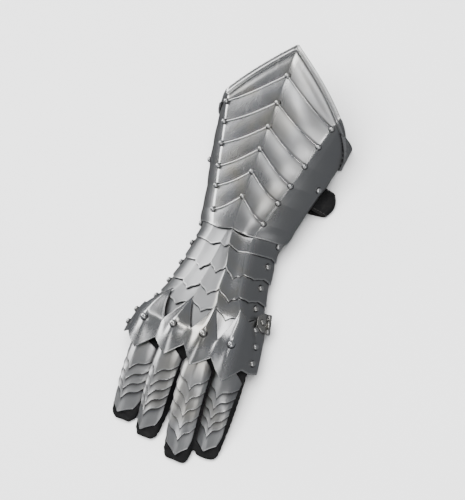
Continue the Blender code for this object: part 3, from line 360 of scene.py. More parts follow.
def thread(name):
    look = Look(name)
    twist = look.noise(4200, 2, 0.5)
    base = look.tint(twist, colour(0.02, 0.02, 0.02), colour(0.06, 0.058, 0.055))
    return look.finish(Base_Color=base, Roughness=0.7)


# The armour's outer face as a function of the length s and the place v across

def station(along):
    return CUFF_LENGTH + along * HAND_LENGTH


def key_rows():
    """Stations, and for each the eight points (x, z) of the lines that run along the armour."""
    stations, rows = [], []
    half, height = CUFF_WIDTH / 2, CUFF_HEIGHT
    for along, low_x, low_z, thumb_x, side_x, side_z, crease_x, crease_z, ridge_z in CUFF_SECTIONS:
        ring = (-0.2 * crease_x, ridge_z + 0.2 * (crease_z - ridge_z))
        line = ((low_x, low_z), (thumb_x, side_z), (crease_x, crease_z), (0.0, ridge_z), ring,
                (-crease_x, crease_z), (-side_x, side_z), (-low_x, low_z))
        stations.append(along * CUFF_LENGTH)
        rows.append([(x * half, z * height) for x, z in line])
    sizes = {"wrist": (WRIST_WIDTH / 2, WRIST_HEIGHT), "knuckle": (KNUCKLE_WIDTH / 2, KNUCKLE_HEIGHT)}
    for size, along, *shares in HAND_SECTIONS:
        half, height = sizes[size]
        stations.append(station(along))
        rows.append([(shares[2 * i] * half, shares[2 * i + 1] * height) for i in range(8)])
    return np.array(stations), np.array(rows)


STATIONS, ROWS = key_rows()
SLOPES = np.gradient(ROWS, STATIONS, axis=0)


def key_points(s):
    """The eight line points (x, z) at each length s, on a smooth cubic through the sections."""
    s = np.asarray(s, float)
    i = np.clip(np.searchsorted(STATIONS, s, side="right") - 1, 0, len(STATIONS) - 2)
    span = STATIONS[i + 1] - STATIONS[i]
    f = ((s - STATIONS[i]) / span)[..., None, None]
    span = span[..., None, None]
    return (
        (2 * f**3 - 3 * f**2 + 1) * ROWS[i] + (f**3 - 2 * f**2 + f) * span * SLOPES[i]
        + (3 * f**2 - 2 * f**3) * ROWS[i + 1] + (f**3 - f**2) * span * SLOPES[i + 1]
    )


def skin(s, v):
    """Straight or crowned strips between the eight lines."""
    s, v = np.broadcast_arrays(np.asarray(s, float), np.asarray(v, float))
    lines = key_points(s)
    i = np.clip(np.floor(v).astype(int), 0, 6)
    f = (v - i)[..., None]
    start = np.take_along_axis(lines, i[..., None, None], axis=-2)[..., 0, :]
    end = np.take_along_axis(lines, (i + 1)[..., None, None], axis=-2)[..., 0, :]
    chord = end - start
    outward = np.stack([chord[..., 1], -chord[..., 0]], axis=-1)
    crown = np.asarray(CROWN)[i][..., None] * 4 * np.clip(f, 0, 1) * (1 - np.clip(f, 0, 1))
    flat = start + chord * f + outward * crown
    return np.stack([flat[..., 0], -s, flat[..., 1]], axis=-1)


def soft_skin(s, v, reach=0.05):
    """The skin averaged over a short run across, which rounds its bends, and never past its edges."""
    s, v = np.broadcast_arrays(np.asarray(s, float), np.asarray(v, float))
    reach = np.minimum(reach, np.minimum(np.abs(v), np.abs(7 - v)))
    offsets = np.array([-1, -.6, -.3, 0, .3, .6, 1])
    weights = np.array([1, 2, 3, 4, 3, 2, 1]) / 16
    return sum(w * skin(s, v + o * reach) for o, w in zip(offsets, weights))


def unit(vectors):
    return vectors / np.maximum(np.linalg.norm(vectors, axis=-1, keepdims=True), 1e-12)


def normals(surface, s, v, ds=0.001, dv=0.03):
    along = surface(s + ds, v) - surface(s - ds, v)
    across = surface(s, v + dv) - surface(s, v - dv)
    return unit(np.cross(across, along))


def raised(s, v, height, surface=soft_skin):
    s, v, height = np.broadcast_arrays(np.asarray(s, float), np.asarray(v, float), np.asarray(height, float))
    return surface(s, v) + normals(surface, s, v) * height[..., None]


def smooth_step(x):
    x = np.clip(x, 0, 1)
    return x * x * (3 - 2 * x)


def bell(x, width):
    """1 at 0, falling off on both sides."""
    return np.exp(-(x / width) ** 2)


def triangle_wave(x):
    """0 at whole numbers and 1 half way between."""
    return 1 - np.abs(2 * (x - np.floor(x)) - 1)


def bump_wave(x):
    """0 at whole numbers and 1 half way between, as a sine's square."""
    return np.sin(math.pi * (x - np.floor(x))) ** 2


# Meshes

def mesh_object(name, points, faces, material, attributes=None):
    mesh = bpy.data.meshes.new(name)
    mesh.from_pydata(np.asarray(points, float).reshape(-1, 3).tolist(), [], faces)
    for key, values in (attributes or {}).items():
        layer = mesh.attributes.new(key, "FLOAT", "POINT")
        layer.data.foreach_set("value", np.asarray(values, np.float32).ravel())
    mesh.shade_smooth()
    mesh.materials.append(material)
    obj = bpy.data.objects.new(name, mesh)
    bpy.context.scene.collection.objects.link(obj)
    return obj


def grid_faces(rows, columns, start=0, closed=False):
    """Quads of a grid of points; closed joins the last column to the first."""
    i, j = np.meshgrid(np.arange(rows - 1), np.arange(columns if closed else columns - 1), indexing="ij")
    k = (j + 1) % columns
    here, below = i * columns, (i + 1) * columns
    quads = np.stack([here + j, here + k, below + k, below + j], axis=-1)
    return (quads.reshape(-1, 4) + start).tolist()


class Shell:
    """Closed bodies gathered into one mesh, each with its attributes."""

    def __init__(self):
        self.points, self.faces, self.values, self.count = [], [], {"edge": [], "hollow": [], "shade": []}, 0

    def add(self, points, faces, **values):
        points = np.asarray(points, float).reshape(-1, 3)
        self.faces += [[c + self.count for c in face] for face in faces]
        self.points.append(points)
        for key, held in self.values.items():
            value = np.asarray(values.get(key, 0.0), float)
            held.append(np.broadcast_to(value.ravel() if value.ndim else value, (len(points),)))
        self.count += len(points)

    def plate(self, grid, thickness, rim=3, **values):
        """A sheet with half-round edges: the outer grid, the same grid moved in, and a band round them.

        The band's rings lie on a half circle from the outer to the inner border, bulging away from the sheet.
        """
        rows, columns = grid.shape[:2]
        along = np.gradient(grid, axis=0)
        across = np.gradient(grid, axis=1)
        out = unit(np.cross(across, along))
        inner = grid - out * thickness
        border = np.concatenate([
            np.stack([np.zeros(columns - 1, int), np.arange(columns - 1)], axis=1),
            np.stack([np.arange(rows - 1), np.full(rows - 1, columns - 1)], axis=1),
            np.stack([np.full(columns - 1, rows - 1), np.arange(columns - 1, 0, -1)], axis=1),
            np.stack([np.arange(rows - 1, 0, -1), np.zeros(rows - 1, int)], axis=1),
        ])
        i, j = border[:, 0], border[:, 1]
        inward = grid[np.clip(i, 1, rows - 2), np.clip(j, 1, columns - 2)] - grid[i, j]
        here = grid[i, j]
        run = unit(np.roll(here, -1, axis=0) - np.roll(here, 1, axis=0))
        away = -(inward - run * (inward * run).sum(-1, keepdims=True))
        away = unit(away - out[i, j] * (away * out[i, j]).sum(-1, keepdims=True))
        middle = here - out[i, j] * thickness / 2
        angles = np.linspace(math.pi / 2, -math.pi / 2, rim + 2)[1:-1]
        rings = [middle + (out[i, j] * math.sin(a) + away * math.cos(a)) * thickness / 2 for a in angles]
        count = rows * columns
        faces = grid_faces(rows, columns)
        faces += [face[::-1] for face in grid_faces(rows, columns, count)]
        outer_ids = i * columns + j
        bands = [2 * count + k * len(i) + np.arange(len(i)) for k in range(rim)]
        chain = [outer_ids] + bands + [outer_ids + count]
        for a, b in zip(chain[:-1], chain[1:]):
            faces += np.stack([a, b, np.roll(b, -1), np.roll(a, -1)], axis=1).tolist()
        points = np.concatenate([grid.reshape(-1, 3), inner.reshape(-1, 3)] + rings)
        held = {}
        for key in self.values:
            value = np.broadcast_to(np.asarray(values.get(key, 0.0), float), (rows, columns))
            held[key] = np.concatenate([value.ravel(), value.ravel()] + [value[i, j]] * rim)
        self.add(points, faces, **held)

    def dome(self, point, normal, radius, height, collar=0.0, shade=0.15, glint=0.45, turns=20, rings=9):
        """A rivet head: a profile turned round the normal, from its foot over a bulging side to the top."""
        normal = unit(np.asarray(normal, float))
        side = unit(np.cross(normal, (0.31, 0.87, 0.39)))
        other = np.cross(normal, side)
        a = np.linspace(-0.35, math.pi / 2, rings)
        r = radius * np.cos(a)
        h = height * (0.34 + 0.66 * np.sin(a))
        profile = [(r[0] * 0.55, h[0] - 0.0012)] + list(zip(r, h))
        if collar:
            wide = radius + collar
            profile = [(wide, -0.0009), (wide, 0.00010), (r[0] * 0.99, 0.00016)] + list(zip(r, h))
        profile = np.array(profile[:-1])
        t = np.linspace(0, 2 * math.pi, turns, endpoint=False)
        ring = np.cos(t)[:, None] * side + np.sin(t)[:, None] * other
        points = point + profile[:, :1, None] * ring + profile[:, 1:, None] * normal
        rows = len(profile)
        top = np.asarray(point) + normal * height
        last = rows * turns
        faces = grid_faces(rows, turns, closed=True)
        faces += [[(rows - 1) * turns + k, (rows - 1) * turns + (k + 1) % turns, last] for k in range(turns)]
        faces.append(list(range(turns))[::-1])
        # Painted shadow on the foot and lowest rings, a dark rim round the head; the rest gets a painted highlight
        # as strong as glint.
        low = np.zeros(rows)
        foot = 3 if collar else 1
        low[:foot] = 0.95
        low[foot:foot + 3] = (0.70, 0.35, 0.10)
        hollow = np.append(np.repeat(low, turns), 0.0)
        painted_bright = np.append(np.repeat(np.clip(1 - 2 * low, 0, 1) * glint, turns), glint)
        points = np.concatenate([points.reshape(-1, 3), top[None]])
        # The whole head also takes painted shade by its share.
        self.add(points, faces, shade=shade, hollow=hollow, edge=painted_bright)

    def tube(self, rings, **values):
        """A closed body through closed rings of points, its ends filled."""
        count, size = rings.shape[:2]
        faces = grid_faces(count, size, closed=True)
        faces += [list(range(size))[::-1], list(range((count - 1) * size, count * size))]
        self.add(rings.reshape(-1, 3), faces, **values)

    def make(self, name, material, body="gauntlet", nodes=()):
        points = np.concatenate(self.points) + SHIFT
        values = {key: np.concatenate(held) for key, held in self.values.items()}
        obj = mesh_object(name, points, self.faces, material, values)
        outward(obj)
        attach(obj, body)
        if nodes:
            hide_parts(*nodes)
        return obj


def outward(obj):
    """Faces of each closed body turned to point out."""
    body = bmesh.new()
    body.from_mesh(obj.data)
    bmesh.ops.recalc_face_normals(body, faces=body.faces)
    body.to_mesh(obj.data)
    body.free()


def spread(cells, step=1.0):
    """Places across: strips of one width, each cut into cells that crowd towards its two lines."""
    places = [(i + (1 - np.cos(math.pi * np.arange(n) / n)) / 2) * step for i, n in enumerate(cells)]
    return np.append(np.concatenate(places), len(cells) * step)


def crowded(count):
    """Shares from 0 to 1 that crowd towards both ends."""
    return (1 - np.cos(math.pi * np.arange(count + 1) / count)) / 2


def down_the_sides(v):
    """0 over the top of the armour and 1 down its side plates: the mask of the painted shade on the sides."""
    return np.maximum(smooth_step((INDEX - v) / 0.35), smooth_step((v - LITTLE) / 0.35))


# Cuff

def ridge_share(v):
    """-1 at the thumb crease, 0 at the ridge and 1 at the little-finger crease."""
    return np.interp(v, (INDEX, MIDDLE, RING, LITTLE), (-1, 0, 0.2, 1))


def elbow_edge(v):
    """The edge at the elbow: two arms from the peak to the corners, then down the sides."""
    ridge, crease, side, low = (e * CUFF_LENGTH for e in ELBOW_EDGE)
    ring = ridge + 0.2 * (crease - ridge)
    return np.interp(v, range(8), (low, side, crease, ridge, ring, crease, side, low))


def wrist_edge(v):
    """The edge over the wrist, which runs back along the sides and sags between the ridge and the creases."""
    lag = np.interp(v, (0, 2, 5, 7), (SIDE_LAG * 1.8, 0, 0, SIDE_LAG * 1.8))
    share = np.abs(ridge_share(v))
    return CUFF_LENGTH - lag + 0.0016 * np.sin(math.pi * share) * (np.abs(v - 3.5) < 1.5)


def rib_line(rib, v):
    """A rib's length from the peak: two arms that sag towards the wrist, and level lines down the sides."""
    share = np.abs(ridge_share(v))
    sag = RIB_SAG * 4 * share * (1 - share)
    lag = 0.006 * np.clip(np.maximum(INDEX - v, v - LITTLE), 0, 2)
    return CUFF_LENGTH * (rib.ridge + (rib.crease - rib.ridge) * share) + sag - lag


def cuff_lines(v):
    """Lengths at v of the lines that part the cuff: elbow edge, border, the ribs and wrist edge."""
    edge = elbow_edge(v)
    return [edge, edge + BORDER_WIDTH] + [rib_line(rib, v) for rib in RIBS] + [wrist_edge(v)]


def band_share(s, v):
    """0 at both lines of the band that s lies in and towards 1 across it."""
    lines = cuff_lines(v)[1:]
    place = sum(np.clip((s - low) / (high - low), 0, 1) for low, high in zip(lines[:-1], lines[1:]))
    return np.sin(math.pi * (place - np.floor(place)))


def cuff_relief(s, v):
    """Height over the skin: each band crowned along and across, and a flat border turned up at the elbow."""
    arch = band_share(s, v)
    top = smooth_step((1.6 - np.abs(v - 3.5)) / 0.2)
    facet = np.abs(ridge_share(v))
    crown = np.where(v < MIDDLE, THUMB_FACET_CROWN, OTHER_FACET_CROWN)
    crowned = crown * np.sin(math.pi * np.clip(facet, 0, 1))
    from_edge = s - elbow_edge(v)
    crowned = crowned * smooth_step((from_edge - BORDER_WIDTH) / 0.040)
    relief = top * (BAND_ARCH * arch + crowned) + 0.00045 * arch * (1 - top)
    raised_rim = FLANGE_RISE * (1 - smooth_step((from_edge - 0.6 * BORDER_WIDTH) / (0.4 * BORDER_WIDTH)))
    bead = 0.0007 * bell(from_edge - 0.72 * BORDER_WIDTH, 0.0007)
    return relief * smooth_step((from_edge - BORDER_WIDTH) / 0.010) + raised_rim + bead


def cuff_across(s, v):
    """Places across whose two low edges are cut in shallow waves, one to each band."""
    depth = 0.0018 * (1 - band_share(s, v)) / (0.2 * CUFF_HEIGHT)
    return v + depth * (np.clip(1 - v, 0, 1) - np.clip(v - 6, 0, 1))


def make_cuff(steel, painted_bright):
    """The skin raised by the relief, on rows that follow the border and every rib."""
    v = spread((6, 16, 24, 10, 22, 16, 6))
    lines = np.array(cuff_lines(v))
    shares = [crowded(14)] + [crowded(16)] * 7
    rows = [low + (high - low) * share[:-1, None] for low, high, share in zip(lines[:-1], lines[1:], shares)]
    s = np.concatenate(rows + [lines[-1:]])
    places = np.broadcast_to(v, s.shape)
    grid = raised(s, cuff_across(s, places), cuff_relief(s, places))
    from_start, to_end = s - lines[0], lines[-1] - s
    # Painted highlight along the wrist and elbow edges, the border's bead, the low free edges, both creases and the
    # ridge.
    edge = bell(to_end, 0.0009) + 0.9 * bell(from_start, 0.0010)
    edge = np.maximum(edge, bell(from_start - 0.72 * BORDER_WIDTH, 0.0009))
    edge = np.maximum(edge, bell(np.minimum(places, 7 - places), 0.05))
    crease = bell(np.minimum(np.abs(v - INDEX), np.abs(v - LITTLE)), 0.030)
    ridge = 0.5 * bell(v - MIDDLE, 0.05)
    edge = np.maximum(edge, 0.9 * np.broadcast_to(np.maximum(crease, ridge), s.shape))
    # Painted shadow inside the border and along both sides of every rib.
    hollow = 0.55 * bell(from_start - 1.02 * BORDER_WIDTH, 0.0006) \
        + 0.30 * bell(from_start - 0.42 * BORDER_WIDTH, 0.0007)
    for rib in RIBS:
        off = s - rib_line(rib, v)
        on_top = (places > INDEX - 0.01) & (places < LITTLE + 0.01)
        hollow = np.maximum(hollow, 0.9 * bell(off + 0.0014, 0.0006) * on_top)
        hollow = np.maximum(hollow, 0.5 * bell(off - 0.0014, 0.0005) * on_top)
    # Painted shade down the sides, light on the little-finger facets and heavier on the thumb facets.
    shade = np.maximum(down_the_sides(places), 0.16 * smooth_step((places - MIDDLE) / 0.1))
    shade = np.maximum(shade, 0.65 * smooth_step((MIDDLE - places) / 0.1))
    shell = Shell()
    shell.plate(grid, STEEL, edge=np.clip(edge, 0, 1), hollow=np.clip(hollow, 0, 1), shade=shade)
    for name, place in (("strap_rivet_thumb", 1.15), ("strap_rivet_little", 5.85)):
        s_rivet = np.array(CUFF_LENGTH * STRAP_PLACE)
        point = raised(s_rivet, place, cuff_relief(s_rivet, np.array(place)))
        head = Shell()
        head.dome(point, normals(soft_skin, s_rivet, place), 0.0028, 0.0027, collar=0.0005)
        head.make(f"{name}_head", painted_bright, nodes=[name])
    return shell.make("cuff", steel, nodes=["cuff_plate"])


def make_rib(number, rib, steel):
    """A thin half-round bead along the rib's line, with a ball rivet on the ridge and at each crease."""
    v = np.concatenate([INDEX + crowded(26) * (MIDDLE - INDEX), MIDDLE + crowded(30)[1:] * (LITTLE - MIDDLE)])
    s = rib_line(rib, v)
    centre = raised(s, v, cuff_relief(s, v))
    up = normals(soft_skin, s, v)
    run = unit(np.gradient(centre, axis=0))
    side = unit(np.cross(run, up))
    t = np.linspace(0, math.pi, 9)
    profile = np.concatenate([[(1.02, -0.5)], np.stack([np.cos(t), np.sin(t)], axis=1), [(-1.02, -0.5)]])
    rings = centre[:, None] + side[:, None] * (profile[:, :1] * RIB_WIDTH)
    rings = rings + up[:, None] * (profile[:, 1:] * RIB_HEIGHT)
    shell = Shell()
    # Painted highlight along the top of the bead.
    shell.tube(rings, edge=np.tile(bell(profile[:, 1] - 1, 0.5), (len(v), 1)))
    # The balls take no painted shade and a strong painted highlight.
    for k in (0, 26, len(v) - 1):
        foot = centre[k] + up[k] * 0.0003
        shell.dome(foot, up[k], BALL_RADIUS, BALL_HEIGHT, collar=0.0006, shade=0.0, glint=0.8)
    return shell.make(f"rib_{number}", steel, nodes=[f"cuff_rib_{number}"])


# Lames

def flutes(s, v):
    """Strips between the finger lines hollowed, so that the lines stand as ridges from the wrist on."""
    depth = FLUTE_DEPTH * smooth_step((s - CUFF_LENGTH + 0.004) / 0.02)
    inside = smooth_step((v - INDEX) / 0.06) * smooth_step((LITTLE - v) / 0.06)
    return -depth * bump_wave(v) * inside * np.where(v < MIDDLE, 1.0, 0.45)


def lame_stack(s):
    """Rises by one pitch of plate and gap at each lame's edge."""
    ends = [CUFF_LENGTH] + [station(lame.end) + lame.points * V_REACH / 2 for lame in LAMES[:4]]
    return np.interp(s, ends, np.arange(5) * LAME_PITCH)


def waved_points(v):
    """The pointed edge between the finger lines: each arm drawn as a shallow S."""
    wave = triangle_wave(v)
    return wave + 0.10 * np.sin(2 * math.pi * wave)


def side_lag(v):
    """How far the lames' edges run back down the sides."""
    return np.interp(v, (THUMB_SIDE, INDEX, LITTLE, LITTLE_SIDE), (SIDE_LAG, 0, 0, SIDE_LAG))


def edge_line(lame, v):
    """A lame's lower edge: points on the finger lines, then back along the sides."""
    pointed = np.where((v >= INDEX) & (v <= LITTLE), waved_points(v), 0.35 * waved_points(v))
    pointed = np.where((v < THUMB_SIDE) | (v > LITTLE_SIDE), 0, pointed)
    lag = side_lag(v)
    soft = 0.0018 * bump_wave(v) * (lame.points < 0.5) * ((v >= INDEX) & (v <= LITTLE))
    return station(lame.end) + lame.points * V_REACH * pointed - lag + soft


def start_line(number, v):
    before = CUFF_LENGTH if number == 0 else station(LAMES[number - 1].end)
    lag = side_lag(v)
    return before - lag * (1.8 if number == 0 else 1) - LAME_OVERLAP


def lame_height(number, s):
    """A lame's height over the skin: the plates above it lie one pitch each over it."""
    return lame_stack(s) - (number + 1) * LAME_PITCH


def knuckle_edge(points, v):
    return station(np.interp(v, [p[0] for p in points], [p[1] for p in points]))


def make_lame(number, lame, steel):
    """One lame: rows from under the plate above to its edge, then on to the lame's own."""
    v = spread((6, 12, 24, 24, 24, 12, 6))
    start, end = start_line(number, v), edge_line(lame, v)
    above = wrist_edge(v) if number == 0 else edge_line(LAMES[number - 1], v)
    if number == len(LAMES) - 1:
        end = np.minimum(end, knuckle_edge(KNUCKLE_LOWER, v) - LAME_OVERLAP / 2)
    rest = 0.0020 + (end - above).max() * crowded(26)[4:]
    shown = np.concatenate([[0, 0.0004, 0.0009, 0.0014, 0.0020], rest])
    shown = shown[:, None] * np.ones(len(v))
    share = np.clip(shown / shown[-1], 0, 1)
    close = np.where(shown <= 0.002, above + shown, above + (end - above) * share)
    hidden = start + (np.minimum(above, end) - start) * np.linspace(0, 1, 6)[:-1, None]
    s = np.concatenate([hidden, np.minimum(close, end)])
    s = np.maximum.accumulate(s, axis=0)
    across = np.broadcast_to(v, s.shape)
    grid = raised(s, across, lame_height(number, s) + flutes(s, across))
    # Painted highlight along the lame's edge, the finger ridges and the low free edges.
    ridges = bell(np.abs(across - np.round(across)), 0.060) * ((across > 1.8) & (across < 5.2))
    ridges = ridges * np.choose(np.clip(np.round(across).astype(int) - 2, 0, 3), (1.0, 1.0, 0.25, 0.35))
    edge = np.maximum(0.9 * bell(end - s, 0.0007), 0.9 * ridges)
    edge = np.maximum(edge, bell(np.minimum(across, 7 - across), 0.05))
    # Painted shadow under the edge of the plate above.
    below = s - above
    hollow = 0.85 * np.where(below < 0, 1.0, bell(below, 0.0011))
    shell = Shell()
    # Painted shade down the sides and, stronger, over the little-finger side of the top.
    shade = np.maximum(down_the_sides(across), 1.25 * smooth_step((across - MIDDLE - 0.05) / 0.15))
    shell.plate(grid, STEEL, edge=edge, hollow=hollow, shade=shade)
    for side in lame.rivets:
        upper = CUFF_LENGTH - 1.8 * SIDE_LAG if number == 0 else station(LAMES[number - 1].end) - SIDE_LAG
        below = station(lame.end) - SIDE_LAG
        if number == len(LAMES) - 1:
            below = knuckle_edge(KNUCKLE_UPPER, float(side))
        place = upper + (below - upper) * 0.42
        point = raised(place, float(side), lame_height(number, place))
        shell.dome(point, normals(soft_skin, place, float(side)), SIDE_RIVET, SIDE_RIVET, collar=0.0006)
    return shell.make(f"{lame.name}_plate", steel, nodes=[lame.name])


# Knuckle plate

def knuckle_relief(s, v):
    """Height over the stack of lames at each finger line; q is the share of a strip from the line.

    Above the rivets a spike: its crest rises in a straight line from the point, and two flat faces fall from it to
    the plate's edge, or on the outer sides slowly to the side plate. Below them a tongue, round as a cosine's
    square. The two are mixed by a smooth step.
    """
    height = np.zeros(np.broadcast(s, v).shape)
    rivet = station(KNUCKLE_RIVET_ALONG)
    for line in FINGER_LINES.values():
        tip = knuckle_edge(KNUCKLE_UPPER, float(line))
        end = knuckle_edge(KNUCKLE_LOWER, float(line))
        q = np.abs(v - line)
        outer = (v < INDEX) | (v > LITTLE)
        up = np.clip((s - tip) / (rivet - tip), 0, 1)
        foot = np.where(outer, 0.9, np.clip(0.01 + 0.5 * (up / 0.95) ** 1.18, 0, 0.5))
        spike = SPIKE_HEIGHT * up * np.clip(1 - q / foot, 0, 1)
        beyond = np.clip((s - rivet) / (end - rivet), 0, 1)
        from_line = np.clip(q / np.where(outer, 0.9, 0.5), 0, 1)
        tongue = (TONGUE_HEIGHT - TONGUE_FALL * beyond) * np.cos(math.pi / 2 * from_line) ** 2
        mixed = smooth_step((s - rivet + 0.008) / 0.012)
        height = np.maximum(height, spike * (1 - mixed) + tongue * mixed)
    return height


def knuckle_height(s, v, most=1.0):
    """The plate's height: the relief, held under a slope up from the upper edge, over the stack of lames."""
    return lame_stack(s) - COVERED_LAMES * LAME_PITCH + np.minimum(knuckle_relief(s, v), most)


def spiked_edge(v):
    """The upper edge: straight runs outside the finger lines, and between them concave-sided spikes.

    From each spike's point the edge falls to the next valley as the 0.85th power of the distance across.
    """
    edge = knuckle_edge(KNUCKLE_UPPER, v)
    for line in FINGER_LINES.values():
        for side in (-1, 1):
            valley = line + side * 0.5
            if INDEX < valley < LITTLE:
                tip, low = (knuckle_edge(KNUCKLE_UPPER, float(place)) for place in (line, valley))
                q = np.clip((v - line) * side / 0.5, 0, 1)
                inside = ((v - line) * side >= 0) & ((v - line) * side <= 0.5)
                edge = np.where(inside, tip + (low - tip) * q ** 0.85, edge)
    return edge


def make_knuckle_plate(steel, painted_bright):
    """Rows from the spiked edge to the lower one, raised by the relief; then the side and knuckle rivets."""
    v = spread((8, 6, 12, 10, 14, 14, 14, 14, 14, 14, 8, 8, 4, 4), 0.5)
    upper, lower = spiked_edge(v), knuckle_edge(KNUCKLE_LOWER, v)
    s = upper + (lower - upper) * crowded(74)[:, None]
    across = np.broadcast_to(v, s.shape)
    grid = raised(s, across, knuckle_height(s, across, 0.5 * (s - upper)))
    # Painted highlight along both edges and up each spike's crest.
    edge = np.maximum(bell(lower - s, 0.0009), 0.9 * bell(s - upper, 0.0008))
    crest = np.zeros(s.shape)
    for line in FINGER_LINES.values():
        crest = np.maximum(crest, bell(across - line, 0.018) * (s < station(KNUCKLE_RIVET_ALONG)))
    edge = np.maximum(edge, 0.7 * crest)
    shell = Shell()
    # Painted shade down the outer sides and below the knuckle rivets.
    shade = np.maximum(smooth_step((INDEX - across) / 0.35), smooth_step((across - LITTLE - 0.45) / 0.25))
    shade = np.maximum(shade, 0.6 * smooth_step((s - station(KNUCKLE_RIVET_ALONG)) / 0.025))
    shell.plate(grid, STEEL, edge=edge, shade=shade)
    for place, along in KNUCKLE_SIDE_RIVETS:
        s_rivet = station(along)
        point = raised(s_rivet, place, knuckle_height(np.array(s_rivet), np.array(place)))
        shell.dome(point, normals(soft_skin, s_rivet, place), SIDE_RIVET, SIDE_RIVET, collar=0.0006)
    shell.make("knuckles", steel, nodes=["knuckle_plate"])
    for name, line in FINGER_LINES.items():
        s_rivet = station(KNUCKLE_RIVET_ALONG)
        point = raised(s_rivet, float(line), knuckle_height(np.array(s_rivet), np.array(float(line))))
        out = normals(soft_skin, s_rivet, float(line))
        head = Shell()
        head.dome(point - out * 0.0004, out, 0.0032, 0.0037, collar=0.0007, turns=28, rings=11)
        head.make(f"{name}_knuckle_rivet", painted_bright, nodes=[f"knuckle_rivet_{name}"])


# Fingers

def finger_start():
    return station(FINGER_START)


def finger_line(finger, u):
    """A finger's keel: its x, length and height for u from 0 at the knuckle to 1 at the tip."""
    root = skin(finger_start(), float(FINGER_LINES[finger.name]))
    top = root[2] - FINGER_TOP_DROP
    tip = FINGER_TIP_DEPTH * 0.72
    x = root[0] + finger.shift + finger.splay * u
    return x, finger_start() + finger.length * u, top - (top - tip) * np.clip(u, 0, 2) ** 1.65


def finger_half(finger, u):
    """Half the width of a finger's plates, which narrows as the square of u."""
    return finger.width * FINGER_WIDTH / 2 * (1 - 0.16 * np.clip(u, 0, 1.2) ** 2)


def finger_skin(finger):
    """The plates' outer face: u along, and v from -1 to 1 across a keeled arch that is eased off the keel."""
    places, falls = np.array(ARCH).T

    def surface(u, v):
        x, s, z = finger_line(finger, u)
        half = finger_half(finger, u)
        fall = sum(np.interp(v + o, places, falls) for o in (-0.06, 0.0, 0.06)) / 3
        fall = fall + finger.lean * np.clip(v, 0, 1) * np.clip(1 - u / 0.5, 0, 1)
        across = finger.keel * (1 - np.abs(v)) + v
        return np.stack(np.broadcast_arrays(x + half * across, -s + 0 * v, z - half * fall), axis=-1)
    return surface


def finger_raised(surface, u, v, height):
    u, v, height = np.broadcast_arrays(np.asarray(u, float), np.asarray(v, float), np.asarray(height, float))
    along = surface(u + 0.01, v) - surface(u - 0.01, v)
    across = surface(u, v + 0.05) - surface(u, v - 0.05)
    return surface(u, v) + unit(np.cross(along, across)) * height[..., None]


def scale_ends(finger):
    """Where the scales of a finger end along u; each is a little shorter than the one before."""
    plates = 1 - TIP_PLATE_LENGTH / finger.length
    first = (station(1.0) - finger_start()) / finger.length
    steps = np.linspace(1.12, 0.88, finger.scales)
    return first + (plates - first) * np.cumsum(steps) / steps.sum()


def finger_stack(finger, u):
    """Rises by one pitch of plate and gap at each scale's end."""
    ends = np.append(scale_ends(finger), 1.0)
    return np.interp(u, ends, np.arange(len(ends)) * SCALE_PITCH)


def scale_edge(v, reach):
    """A V-shaped edge whose two arms are drawn in a shallow S."""
    arm = 1 - np.abs(v)
    return reach * (arm + 0.10 * np.sin(2 * math.pi * arm))


def make_finger_plates(finger, steel):
    """Scales with rows from under the one above, crowded at its edge, on to their own V; then the tip plate."""
    surface = finger_skin(finger)
    ends = scale_ends(finger)
    reach = SCALE_REACH / finger.length
    overlap = SCALE_OVERLAP / finger.length
    v = np.linspace(-1, 1, 49)
    vee = scale_edge(v, reach) - reach / 2
    for k, end in enumerate(ends):
        stop = end + vee
        if k == 0:
            start = 0.02 + 0.10 * v**2
            u = start + (stop - start) * np.linspace(0, 1, 30)[:, None]
        else:
            start = ends[k - 1] + vee - overlap
            rest = np.linspace(1.7, 1 + (end - ends[k - 1]) / overlap, 22)
            u = start + overlap * np.concatenate([[0, .5, 1, 1.1, 1.22, 1.36, 1.52], rest])[:, None]
        across = np.broadcast_to(v, u.shape)
        waves = SCALE_WAVE * np.sin(2 * math.pi * (1 - np.abs(across)))
        waves = waves * smooth_step((u - start) / (stop - start))
        height = finger_stack(finger, u - vee) - k * SCALE_PITCH + waves
        grid = finger_raised(surface, u, across, height)
        above = ends[k - 1] + vee if k else None
        finger_shell(f"{finger.name}_scale_{k + 1}", grid, u, across, stop, above, finger, steel)
    above = ends[-1] + vee
    stop = 1.0 - 0.10 * np.abs(v) ** 1.5
    close = np.array([0, .5, 1, 1.1, 1.2, 1.3, 1.4, 1.5])[:, None] * overlap
    rest = (stop - above - 0.5 * overlap) * np.linspace(0, 1, 26)[1:, None]
    u = np.concatenate([above - overlap + close, above + 0.5 * overlap + rest])
    across = v * (1 - 0.62 * np.clip((u - ends[-1]) / (1 - ends[-1]), 0, 1) ** 2.2)
    grid = finger_raised(surface, u, across, finger_stack(finger, u - vee) - finger.scales * SCALE_PITCH)
    # The tip plate takes full painted shade.
    finger_shell(f"{finger.name}_tip_plate", grid, u, across, stop, above, finger, steel, least_shade=1.0)


def finger_shell(name, grid, u, across, stop, above, finger, steel, least_shade=0.0):
    """One plate: a painted highlight at its edge and keel, a painted shadow under the plate above, and painted shade
    at its sides and, by the finger's share, all over.
    """
    edge = bell((stop - u) * finger.length, 0.0008)
    edge = np.maximum(edge, 0.3 * bell(across, 0.05))
    hollow = np.zeros(u.shape)
    if above is not None:
        below = (u - above) * finger.length
        hollow = 0.97 * np.where(below < 0, 1.0, bell(below, finger.shadow))
    shade = np.maximum(max(least_shade, finger.dull), 0.8 * smooth_step((np.abs(across) - .62) / .38))
    shell = Shell()
    shell.plate(grid[:, ::-1], FINGER_STEEL, edge=edge[:, ::-1], hollow=hollow[:, ::-1], shade=shade[:, ::-1])
    shell.make(f"{name}_sheet", steel, nodes=[name])


# Glove

